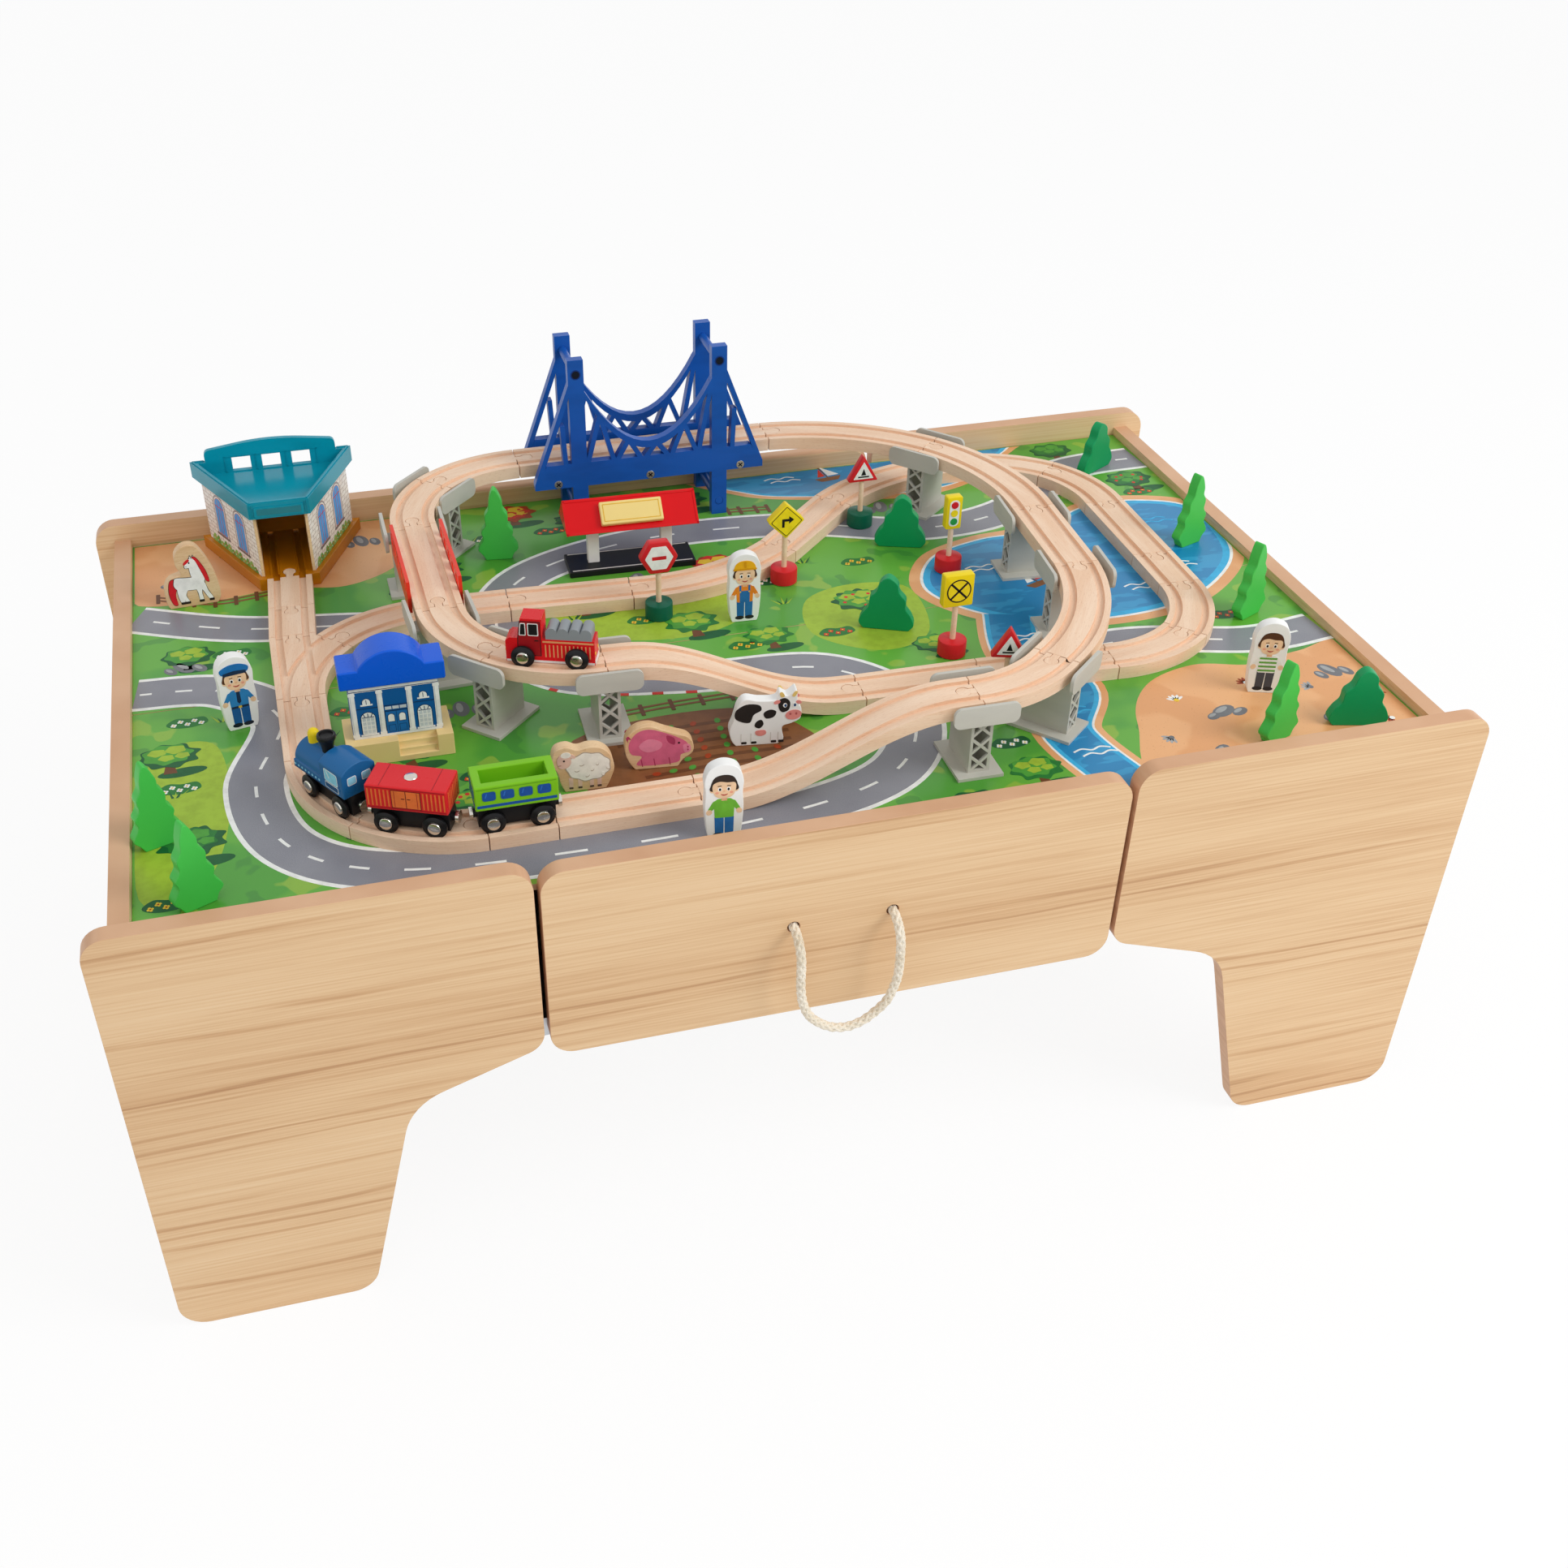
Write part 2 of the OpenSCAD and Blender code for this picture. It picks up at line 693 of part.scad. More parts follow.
module switch_strips(low, high) {
  translate([-run_overlap, low]) square([switch_l() + run_overlap - seam_gap / 2, high - low]);
  bend_strip(low, high);
}

module switch_track() {
  color(beech) {
    difference() {
      at_seam(seam(pieces), switch_heading(), 0) difference() {
        linear_extrude(track_t) switch_strips(-track_w / 2, track_w / 2);
        translate([0, 0, track_t - groove_depth]) linear_extrude(groove_depth + overrun)
          for (y = [-groove_y, groove_y]) switch_strips(y - groove_w / 2, y + groove_w / 2);
      }
      at_seam(seam(pieces), switch_heading() + 180, 0) beyond_seam();
      at_seam(seam(0), seam_heading(0), -overrun) translate([-seam_gap / 2, -(track_w + seam_gap) / 2, 0])
        cube([track_w, track_w + seam_gap, track_t + 2 * overrun]);
      at_seam(switch_top(), flat_angle(switch_top() - on_board(siding_mid_share)), 0) peg(peg_play);
    }
    at_seam(seam(pieces), switch_heading() + 180, 0) peg(0);
    at_seam(seam(0), seam_heading(0), 0) peg(0);
  }
}

module ramp_tracks() {
  color(beech) {
    loop_piece(ramp_up);
    loop_piece(ramp_down);
  }
}

module raised_tracks() {
  color(beech) for (i = [ramp_up + 1 : ramp_down - 1]) loop_piece(i);
}

// Piers
module lattice(size) {
  cell_h = size[1] / pier_cells;
  lean = atan2(cell_h, size[0]);
  brace_l = norm([size[0], cell_h]);
  intersection() {
    translate([-size[0] / 2, 0]) square(size);
    union() {
      for (edge = [-1, 1]) {
        translate([edge * (size[0] / 2 - pier_bar / 2) - pier_bar / 2, 0]) square([pier_bar, size[1]]);
      }
      for (k = [0 : pier_cells - 1], way = [-1, 1]) {
        translate([0, (k + 1 / 2) * cell_h]) rotate(way * lean)
          translate([-brace_l / 2, -pier_bar / 2]) square([brace_l, pier_bar]);
      }
      translate([-size[0] / 2, 0]) square([size[0], pier_bar]);
    }
  }
}

module pier() {
  tower_h = raised_h - saddle_t - pier_base[2];
  side_y = track_w / 2 + cheek_gap;
  block(pier_base);
  translate([0, 0, pier_base[2]]) {
    for (side = [-1, 1]) {
      translate([side * (pier_tower[0] - pier_wall) / 2, 0, 0]) block([pier_wall, pier_tower[1], tower_h]);
      translate([0, side * (pier_tower[1] - pier_wall) / 2, 0]) upright(pier_wall)
        lattice([pier_tower[0], tower_h]);
    }
  }
  translate([0, 0, raised_h - saddle_t]) block([pier_tower[0], 2 * (side_y + cheek_t), saddle_t]);
  for (side = [-1, 1]) {
    translate([0, side * (side_y + cheek_t / 2), raised_h - cheek_drop]) upright(cheek_t)
      polygon(rounded([
        [-cheek_l / 2, 0, cheek_corner], [cheek_l / 2, 0, cheek_corner],
        [cheek_l / 2, cheek_drop + track_t + cheek_rise, cheek_corner],
        [-cheek_l / 2, cheek_drop + track_t + cheek_rise, cheek_corner]
      ]));
  }
}

module track_piers() {
  color(pier_grey) {
    for (row = pier_shares) {
      pose = run_pose(row[0], row[1]);
      at_seam(pose[0], row[1] == 0 ? seam_heading(row[0]) : pose[1], 0) pier();
    }
  }
}

// Way from the seam to the guard rails, past the cheeks of the pier beside that seam
function guard_start(row) =
  cheek_l / 2 + guard_gap - min(row[1], 1 - row[1]) * run_length(row[0]);

module guard_rails() {
  start = guard_start(pier_shares[len(pier_shares) - 2]);
  length = norm(chord(guard_piece)) - start - guard_start(pier_shares[len(pier_shares) - 1]);
  plate_h = guard_strap_t + track_t + guard_rise;
  arch_step = length / guard_arches;
  arch_d = guard_rise - guard_t;
  color(bright_red) at_seam(seam(guard_piece), start_heading(guard_piece), raised_h - guard_strap_t)
    translate([start, 0, 0]) {
    for (side = [-1, 1]) {
      translate([length / 2, side * (guard_y + guard_t / 2), 0]) upright(guard_t) difference() {
        translate([-length / 2, 0]) square([length, plate_h]);
        for (k = [0 : guard_arches - 1]) {
          translate([(k + 1 / 2) * arch_step - length / 2, plate_h - guard_t - arch_d / 2])
            circle(d = arch_d);
        }
      }
    }
    for (share = guard_shares) {
      translate([share * length, 0, 0]) block([guard_strap_w, 2 * guard_y + guard_t, guard_strap_t]);
    }
  }
}

// Bridge: one side frame in its own plane, from the board up
function cable_z(x) = cable_low + (bridge_h - cable_top_drop - cable_low) * pow(2 * x / tower_span, 2);

module bar(from, to, w) {
  translate(from) rotate(flat_angle(to - from)) translate([0, -w / 2]) square([norm(to - from), w]);
}

module bridge_outline() {
  for (side = [-1, 1]) {
    translate([side * tower_span / 2 - tower_w / 2, 0]) square([tower_w, bridge_h]);
    intersection() {
      union() {
        bar([side * tower_span / 2, bridge_h - cable_top_drop / 2],
            [side * chord_l / 2, chord_z], hanger_w);
        bar([side * (tower_span / 2 + tower_w / 2 + hanger_w), chord_z],
            [side * (tower_span / 2 + tower_w), bridge_h / 2 + chord_z / 2], hanger_w);
      }
      translate([-chord_l / 2, chord_z]) square([chord_l, bridge_h]);
    }
  }
  polygon([
    [-chord_l / 2, chord_z], [chord_l / 2, chord_z],
    [chord_l / 2 - chord_h / 2, chord_z + chord_h], [chord_h / 2 - chord_l / 2, chord_z + chord_h]
  ]);
  cable = [for (k = [-hangers : hangers])
    let (x = k * tower_span / 2 / hangers)
    [x, cable_z(x)]];
  polygon(concat(
    [for (p = cable) p - [0, cable_t / 2]],
    [for (k = [0 : 2 * hangers]) cable[2 * hangers - k] + [0, cable_t / 2]]
  ));
  step = (tower_span - tower_w) / hangers;
  for (k = [0 : hangers - 1]) {
    from_x = -tower_span / 2 + tower_w / 2 + k * step;
    lean = k % 2 == 0 ? 1 : 0;
    low = from_x + (1 - lean) * step;
    high = from_x + lean * step;
    bar([low, chord_z + chord_h - hanger_w], [high, cable_z(high)], hanger_w);
  }
}

module bridge_screw_places() {
  for (share = deck_bar_shares) translate([share * chord_l, raised_h - deck_bar / 2]) children();
}

module bridge_rod_places() {
  for (side = [-1, 1], z = [foot_rod_z, bridge_h - rod_drop]) {
    translate([side * tower_span / 2, z]) children();
  }
}

module at_bridge() {
  at_seam(bridge_mid, start_heading(bridge_piece), 0) children();
}

module bridge_frame(side) {
  at_bridge() translate([0, side * (frame_y + bridge_t / 2), 0]) difference() {
    upright(bridge_t) difference() {
      bridge_outline();
      bridge_screw_places() circle(d = screw_d + 2 * fit_gap);
      bridge_rod_places() circle(d = rod_d + 2 * fit_gap);
    }
    translate([0, side * (bridge_t - screw_head_t) / 2, 0]) upright(screw_head_t + fit_gap)
      bridge_screw_places() circle(d = screw_head_d + 2 * fit_gap);
  }
}

module bridge_front_frame() {
  color(bridge_blue) bridge_frame(-1);
}

module bridge_rear_frame() {
  color(bridge_blue) bridge_frame(1);
}

module bridge_cross_rods() {
  color(bridge_blue) at_bridge() {
    upright(2 * (frame_y + bridge_t)) bridge_rod_places() circle(d = rod_d);
    upright(2 * frame_y) bridge_screw_places() translate([-deck_bar / 2, -deck_bar / 2]) square(deck_bar);
  }
}

module bridge_screws() {
  color(steel) at_bridge() for (side = [-1, 1]) {
    translate([0, side * (frame_y + bridge_t / 2), 0]) upright(bridge_t)
      bridge_screw_places() circle(d = screw_d);
    translate([0, side * (frame_y + bridge_t - screw_head_t / 2), 0]) upright(screw_head_t)
      bridge_screw_places() circle(d = screw_head_d);
  }
}

// Table: panels
module leg_outline() {
  polygon(rounded([
    [-table_l / 2, 0, toe_r], [leg_toe_w - table_l / 2, 0, toe_r],
    [leg_knee_w - table_l / 2, knee_z, knee_r],
    [-panel_in_x, apron_z, corner_r], [-panel_in_x, table_h, corner_r], [-table_l / 2, table_h, corner_r]
  ]));
}

module cam_heights() {
  for (share = cam_drop_shares) translate([0, 0, apron_z + share * (rail_z - apron_z)]) children();
}

rail_mid_x = board_l / 2 + panel_t / 2;

// Leg panel on the left (side -1) or right of the front (face -1) or back
module leg_panel(side, face) {
  color(pale_oak) mirror([side > 0 ? 1 : 0, 0, 0]) mirror([0, face > 0 ? 1 : 0, 0]) difference() {
    translate([0, panel_t / 2 - table_d / 2, 0]) upright(panel_t) leg_outline();
    translate([-rail_mid_x, -board_d / 2 + overrun, 0]) cam_heights() rotate([90, 0, 0])
      cylinder(d = bolt_thread_d + 2 * fit_gap, h = bolt_thread_l + fit_gap + overrun);
  }
}

module front_left_leg_panel() {
  leg_panel(-1, -1);
}

module front_right_leg_panel() {
  leg_panel(1, -1);
}

module back_left_leg_panel() {
  leg_panel(-1, 1);
}

module back_right_leg_panel() {
  leg_panel(1, 1);
}

module centre_outline() {
  polygon(rounded([
    [-drawer_w / 2, drawer_z, corner_r], [drawer_w / 2, drawer_z, corner_r],
    [drawer_w / 2, drawer_z + drawer_front_h, corner_r],
    [-drawer_w / 2, drawer_z + drawer_front_h, corner_r]
  ]));
}

module back_centre_panel() {
  color(pale_oak) translate([0, table_d / 2 - panel_t / 2, 0]) upright(panel_t) centre_outline();
}

module side_rail() {
  color(pale_oak) difference() {
    translate([-rail_mid_x, 0, apron_z]) block([panel_t, board_d, rail_z - apron_z]);
    for (face = [-1, 1]) mirror([0, face > 0 ? 1 : 0, 0]) translate([0, -board_d / 2, 0]) cam_heights() {
      translate([-board_l / 2 + overrun, cam_inset, 0]) rotate([0, -90, 0])
        cylinder(d = cam_d + 2 * fit_gap, h = cam_depth + fit_gap + overrun);
      translate([-rail_mid_x, -overrun, 0]) rotate([-90, 0, 0])
        cylinder(d = bolt_d + 2 * fit_gap, h = cam_inset + overrun);
    }
  }
}

module left_side_rail() {
  side_rail();
}

module right_side_rail() {
  mirror([1, 0, 0]) side_rail();
}

module cam_fittings() {
  color(steel) for (side = [0, 1], face = [0, 1]) mirror([side, 0, 0]) mirror([0, face, 0])
    translate([0, -board_d / 2, 0]) cam_heights() {
      translate([-board_l / 2, cam_inset, 0]) rotate([0, -90, 0]) cylinder(d = cam_d, h = cam_depth);
      translate([-rail_mid_x, 0, 0]) rotate([-90, 0, 0])
        cylinder(d = bolt_d, h = cam_inset - cam_d / 2 - fit_gap);
      translate([-rail_mid_x, -bolt_thread_l, 0]) rotate([-90, 0, 0])
        cylinder(d = bolt_thread_d, h = bolt_thread_l + overrun);
    }
}

module play_board_front() {
  color(grass) translate([-board_l / 2, -board_d / 2, under_board])
    cube([board_l, board_d / 2 - board_seam / 2, board_t]);
}

module play_board_back() {
  color(grass) translate([-board_l / 2, board_seam / 2, under_board])
    cube([board_l, board_d / 2 - board_seam / 2, board_t]);
}

module board_cleats() {
  side_l = board_d - 2 * cleat_t;
  front_l = board_l / 2 - bearer_x - panel_t;
  color(pale_oak) translate([0, 0, under_board - cleat_t]) {
    translate([0, board_d / 2 - cleat_t / 2, 0]) block([board_l, cleat_t, cleat_t]);
    for (side = [-1, 1]) {
      translate([side * (board_l - cleat_t) / 2, 0, 0]) block([cleat_t, side_l, cleat_t]);
      translate([side * (board_l / 2 - front_l / 2), cleat_t / 2 - board_d / 2, 0])
        block([front_l, cleat_t, cleat_t]);
    }
  }
}

module drawer_bearers() {
  length = board_d - cleat_t;
  color(pale_oak) for (side = [-1, 1]) {
    translate([side * (bearer_x + panel_t / 2), length / 2 - board_d / 2, under_board - bearer_h])
      block([panel_t, length, bearer_h]);
  }
}

module drawer_runners() {
  width = bearer_x - box_x + runner_lap;
  color(pale_oak) for (side = [-1, 1]) {
    translate([side * (bearer_x - width / 2), drawer_box_l / 2 - board_d / 2, box_z - body_gap - runner_h])
      block([width, drawer_box_l, runner_h]);
  }
}

// Drawer
module drawer_front() {
  color(pale_oak) translate([0, panel_t / 2 - table_d / 2, 0]) upright(panel_t) difference() {
    centre_outline();
    for (side = [-1, 1]) {
      translate([side * rope_hole_gap / 2, rope_hole_z]) circle(d = rope_d + 2 * rope_hole_play);
    }
  }
}

module drawer_side(side) {
  color(white_board) translate([side * (box_x - drawer_side_t / 2), drawer_box_l / 2 - board_d / 2, box_z])
    block([drawer_side_t, drawer_box_l, drawer_side_h]);
}

module drawer_left_side() {
  drawer_side(-1);
}

module drawer_right_side() {
  drawer_side(1);
}

module drawer_back() {
  color(white_board) translate([0, drawer_box_l - drawer_side_t / 2 - board_d / 2, box_z])
    block([2 * (box_x - drawer_side_t), drawer_side_t, drawer_side_h]);
}

module drawer_bottom() {
  length = drawer_box_l - drawer_side_t;
  color(white_board) translate([0, length / 2 - board_d / 2, box_z + drawer_bottom_t])
    block([2 * (box_x - drawer_side_t), length, drawer_bottom_t]);
}

function rope_point(row, side) =
  [side * row[0] * rope_hole_gap / 2, -table_d / 2 - row[1], rope_hole_z - row[2]];
rope_route = concat(
  [for (row = rope_half) rope_point(row, -1)],
  [for (k = [len(rope_half) - 2 : -1 : 0]) rope_point(rope_half[k], 1)]
);
function rope_along(k) = unit(rope_route[min(k + 1, len(rope_route) - 1)] - rope_route[max(k - 1, 0)]);
function rope_ring(k) =
  let (along = rope_along(k), across = unit(cross(along, rope_reference)), up = cross(along, across))
  [for (s = [0 : rope_sides - 1]) rope_route[k] + rope_d / 2 * (across * cos(360 * s / rope_sides)
                                                              + up * sin(360 * s / rope_sides))];

module rope_handle() {
  rings = len(rope_route);
  points = [for (k = [0 : rings - 1]) each rope_ring(k)];
  walls = [for (k = [0 : rings - 2], s = [0 : rope_sides - 1])
    let (a = k * rope_sides + s, b = k * rope_sides + (s + 1) % rope_sides)
    each [[a, b, b + rope_sides], [a, b + rope_sides, a + rope_sides]]];
  start_cap = [for (s = [1 : rope_sides - 2]) [0, s + 1, s]];
  last = (rings - 1) * rope_sides;
  end_cap = [for (s = [1 : rope_sides - 2]) [last, last + s, last + s + 1]];
  color(cotton) polyhedron(points, concat(walls, start_cap, end_cap));
}

module handle_knots() {
  color(cotton) for (side = [-1, 1]) {
    translate([side * rope_hole_gap / 2, -board_d / 2, rope_hole_z]) rotate([-90, 0, 0]) rotate_extrude()
      intersection() {
        translate([0, knot_d / 3]) circle(d = knot_d);
        square([knot_d, 2 * knot_d]);
      }
  }
}

// Engine shed: wedge plan, narrow towards the siding
function wedge(grow) =
  let (half = shed_d / 2 + grow, slope = (shed_back_w - shed_front_w) / 2 / shed_d)
  [
    [-shed_front_w / 2 - grow + slope * grow, -half], [shed_front_w / 2 + grow - slope * grow, -half],
    [shed_back_w / 2 + grow + slope * grow, half], [-shed_back_w / 2 - grow - slope * grow, half]
  ];

module shed_base() {
  color(amber) difference() {
    on_table(shed_mid_share, 0) linear_extrude(shed_base_h) polygon(wedge(0));
    at_seam(siding_end, flat_angle(siding_end - on_board(siding_mid_share)), 0)
      peg(peg_play);
    on_table(shed_mid_share, 0) for (side = [-1, 1]) {
      translate([side * groove_y, 0, shed_base_h - groove_depth])
        block([groove_w, shed_d + 2 * overrun, groove_depth + overrun]);
    }
  }
}

module shed_walls() {
  color(white_board) on_table(shed_mid_share, 0) translate([0, 0, shed_base_h])
    linear_extrude(shed_wall_h - shed_base_h) difference() {
      polygon(wedge(-shed_rim));
      difference() {
        polygon(wedge(-shed_rim - shed_wall_t));
        for (side = [-1, 1]) {
          translate([side * (shed_door_w / 2 + shed_front_w), -shed_d / 2])
            square(2 * shed_front_w, center = true);
        }
      }
      translate([-shed_door_w / 2, -shed_d]) square([shed_door_w, shed_d]);
    }
}

module shed_roof() {
  parapet_w = shed_back_w * shed_parapet_share;
  parapet_y = (shed_d - shed_parapet_t) / 2;
  color(teal) on_table(shed_mid_share, 0) translate([0, 0, shed_wall_h]) difference() {
    union() {
      linear_extrude(shed_roof_t) polygon(wedge(shed_eave - shed_rim));
      translate([0, parapet_y, shed_roof_t]) upright(shed_parapet_t) polygon(rounded([
        [-parapet_w / 2, 0, parapet_foot_r], [parapet_w / 2, 0, parapet_foot_r],
        [parapet_w / 2, shed_parapet_h, shed_eave],
        [0, shed_parapet_h + shed_parapet_rise, parapet_top_r],
        [-parapet_w / 2, shed_parapet_h, shed_eave]
      ]));
    }
    translate([0, 0, shed_tray_t]) linear_extrude(shed_roof_t) polygon(wedge(-shed_parapet_t));
    for (share = shed_window_shares) {
      translate([share * parapet_w, parapet_y, shed_tray_t + shed_sill])
        block([shed_window[0], shed_parapet_t + 2 * overrun, shed_window[1]]);
    }
  }
}

// Station
module at_station() {
  on_table(station_share, station_turn) children();
}

module station_base() {
  color(black_paint) at_station() block([station_l, station_d, station_base_h]);
}

station_pitch = atan2(station_roof_h, station_roof_d / 2);
station_post_h = station_eave_h - station_base_h;

module station_posts() {
  color(white_board) at_station() translate([0, 0, station_base_h])
    for (share = station_post_shares) {
      translate([share * station_l, 0, 0]) block([station_post[0], station_post[1], station_post_h]);
    }
}

module station_roof() {
  color(bright_red) at_station() translate([0, 0, station_eave_h])
    rotate(90) upright(station_l + 2 * station_roof_over)
      polygon([[-station_roof_d / 2, 0], [station_roof_d / 2, 0], [0, station_roof_h]]);
}

module station_sign() {
  color(signal_yellow) at_station() translate([0, -station_roof_d / 4, station_eave_h + station_roof_h / 2])
    rotate([station_pitch, 0, 0]) block(sign_block);
}

// Blue house: beside the run on its left, and clear of the pier behind its right corner
function house_place() =
  let (
    x = seam(pieces - 1)[0] + track_w / 2 + house_track_gap + house_w / 2,
    pier = seam(house_pier_share[0]),
    heading = seam_heading(house_pier_share[0]),
    beside = x + house_w / 2 - pier[0],
    behind = (pier_base[1] / 2 + house_pier_gap + beside * sin(heading)) / cos(heading)
  )
  [x, min(on_board(house_share)[1], pier[1] + behind - house_d / 2)];

module at_house() {
  translate([house_place()[0], house_place()[1], board_z]) children();
}

module house_base() {
  stair_w = house_w * stair_w_share;
  tread = (house_d - house_body[1]) / 2 / stair_steps;
  color(signal_yellow) at_house() difference() {
    block([house_w, house_d, house_base_h]);
    for (k = [1 : stair_steps]) {
      step_z = house_base_h * k / (stair_steps + 1);
      reach = tread * k;
      translate([house_w / 6, (reach - overrun - house_d) / 2, step_z])
        block([stair_w, reach + overrun, house_base_h - step_z + overrun]);
    }
  }
}

module house_body() {
  color(engine_blue) at_house() translate([0, 0, house_base_h])
    block([house_body[0], house_body[1], house_body_h]);
}

module house_roof() {
  width = house_body[0] + 2 * house_roof_over;
  dome_w = width * house_dome_share;
  dome_rise = house_roof_h - house_wing_h;
  dome_r = (dome_w * dome_w / 4 + dome_rise * dome_rise) / (2 * dome_rise);
  color(roof_blue) at_house() translate([0, 0, house_base_h + house_body_h])
    upright(house_body[1] + house_roof_over) {
      translate([-width / 2, 0]) square([width, house_wing_h]);
      intersection() {
        translate([0, house_roof_h - dome_r]) circle(dome_r);
        translate([-dome_w / 2, 0]) square([dome_w, house_roof_h + overrun]);
      }
    }
}

// Rolling stock: each vehicle in its own frame, +X forward, wheels on z = 0
module on_track(place, wheelbase) {
  pose = run_pose(place[0], place[1]);
  turn = loop_turns[place[0]];
  radius = turn == 0 ? wheelbase : radius_of(norm(chord(place[0])), turn);
  inset = turn == 0 ? 0 : radius - sqrt(radius * radius - wheelbase * wheelbase / 4);
  translate([pose[0][0], pose[0][1], board_z + max(seam_z(place[0]), seam_z(place[0] + 1)) + wheel_z])
    rotate(pose[1]) translate([0, turn < 0 ? -inset : inset, 0]) children();
}

module wheel_set(x) {
  wheel_y = groove_y;
  translate([x, 0, wheel_d / 2]) rotate([90, 0, 0]) {
    cylinder(d = axle_d, h = 2 * wheel_y, center = true);
    for (side = [-1, 1]) translate([0, 0, side * wheel_y]) {
      rotate_extrude() polygon([
        [0, -wheel_w / 2], [wheel_d / 2 - taper_h, -wheel_w / 2], [wheel_d / 2, -rim_w / 2],
        [wheel_d / 2, rim_w / 2], [wheel_d / 2 - taper_h, wheel_w / 2], [0, wheel_w / 2]
      ]);
      translate([0, 0, side * (wheel_w + hub_t) / 2]) cylinder(d = hub_d, h = hub_t, center = true);
    }
  }
}

module axle_bores(wheelbase, w) {
  for (side = [-1, 1]) translate([side * wheelbase / 2, 0, wheel_d / 2]) rotate([90, 0, 0])
    cylinder(d = axle_d + 2 * running_play, h = w + 2 * overrun, center = true);
}

module coupler(end_x, way) {
  translate([end_x, 0, coupler_z]) rotate([0, way * 90, 0]) {
    cylinder(d = coupler_d, h = coupler_l);
    translate([0, 0, coupler_l]) cylinder(d = magnet_d, h = magnet_t);
  }
}

module chassis(length, wheelbase, front) {
  difference() {
    translate([0, 0, chassis_z]) block([length - 2 * chassis_short, chassis_w, deck_z - chassis_z]);
    axle_bores(wheelbase, chassis_w);
  }
  coupler(chassis_short - length / 2, -1);
  if (front) coupler(length / 2 - chassis_short, 1);
}

module engine_chassis() {
  color(black_paint) on_track(engine_at_share, engine_wheelbase) chassis(engine_l, engine_wheelbase, false);
}

module engine_body() {
  boiler_l = engine_l - cab_l;
  cab_r = (wagon_w * wagon_w / 4 + cab_crown * cab_crown) / (2 * cab_crown);
  color(engine_blue) on_track(engine_at_share, engine_wheelbase) {
    translate([0, 0, deck_z]) block([engine_l, wagon_w, boiler_z - deck_z]);
    translate([engine_l / 2 - boiler_l, 0, boiler_z]) rotate([90, 0, 90]) linear_extrude(boiler_l)
      intersection() {
        circle(d = boiler_d);
        translate([-boiler_d / 2, 0]) square(boiler_d);
      }
    translate([-engine_l / 2, 0, deck_z]) rotate([90, 0, 90]) linear_extrude(cab_l) {
      translate([-wagon_w / 2, 0]) square([wagon_w, cab_side_h]);
      intersection() {
        translate([0, cab_side_h + cab_crown - cab_r]) circle(cab_r);
        translate([-wagon_w / 2, 0]) square([wagon_w, cab_side_h + cab_crown + overrun]);
      }
    }
  }
}

module engine_funnel_and_dome() {
  boiler_l = engine_l - cab_l;
  top_z = boiler_z + boiler_d / 2 - funnel_sink;
  on_track(engine_at_share, engine_wheelbase) {
    color(black_paint) translate([engine_l / 2 - boiler_l + funnel_d[1] / 2 + overrun, 0, top_z])
      cylinder(d1 = funnel_d[0], d2 = funnel_d[1], h = funnel_h);
    color(signal_yellow) translate([engine_l / 2 - dome_d, 0, top_z]) {
      cylinder(d = dome_d, h = dome_h);
      translate([0, 0, dome_h]) sphere(d = dome_d);
    }
  }
}

module engine_front_axle() {
  color(black_paint) on_track(engine_at_share, engine_wheelbase) wheel_set(engine_wheelbase / 2);
}

module engine_rear_axle() {
  color(black_paint) on_track(engine_at_share, engine_wheelbase) wheel_set(-engine_wheelbase / 2);
}

module wagon_axle(place, way) {
  color(black_paint) on_track(place, wagon_wheelbase) wheel_set(way * wagon_wheelbase / 2);
}

module red_wagon_chassis() {
  color(black_paint) on_track(red_wagon_place, wagon_wheelbase) chassis(wagon_l, wagon_wheelbase, true);
}

module red_wagon_body() {
  color(bright_red) on_track(red_wagon_place, wagon_wheelbase) translate([0, 0, deck_z])
    block([wagon_l, wagon_w, wagon_body_h]);
}

module red_wagon_front_axle() {
  wagon_axle(red_wagon_place, 1);
}

module red_wagon_rear_axle() {
  wagon_axle(red_wagon_place, -1);
}

module green_wagon_chassis() {
  color(black_paint) on_track(green_wagon_place, wagon_wheelbase) chassis(wagon_l, wagon_wheelbase, true);
}

module green_wagon_body() {
  color(lime) on_track(green_wagon_place, wagon_wheelbase) translate([0, 0, deck_z]) difference() {
    block([wagon_l, wagon_w, wagon_body_h]);
    translate([0, 0, hopper_floor])
      block([wagon_l - 2 * hopper_wall, wagon_w - 2 * hopper_wall, wagon_body_h]);
  }
}

module green_wagon_front_axle() {
  wagon_axle(green_wagon_place, 1);
}

module green_wagon_rear_axle() {
  wagon_axle(green_wagon_place, -1);
}

module truck_body() {
  nose = truck_l * truck_hood_shares[0];
  screen = truck_l * truck_hood_shares[1];
  cab_front = truck_l * truck_hood_shares[2];
  cab_back = truck_l * truck_hood_shares[3];
  color(bright_red) on_track(truck_at_share, truck_wheelbase) difference() {
    upright(truck_w) polygon([
      [-truck_l / 2, truck_low], [nose, truck_low], [nose, truck_bed_z - truck_low],
      [nose - truck_low, truck_bed_z],
      [screen, truck_bed_z], [cab_front, truck_cab_z], [cab_back, truck_cab_z], [cab_back, truck_bed_z],
      [-truck_l / 2, truck_bed_z]
    ]);
    axle_bores(truck_wheelbase, truck_w);
  }
}

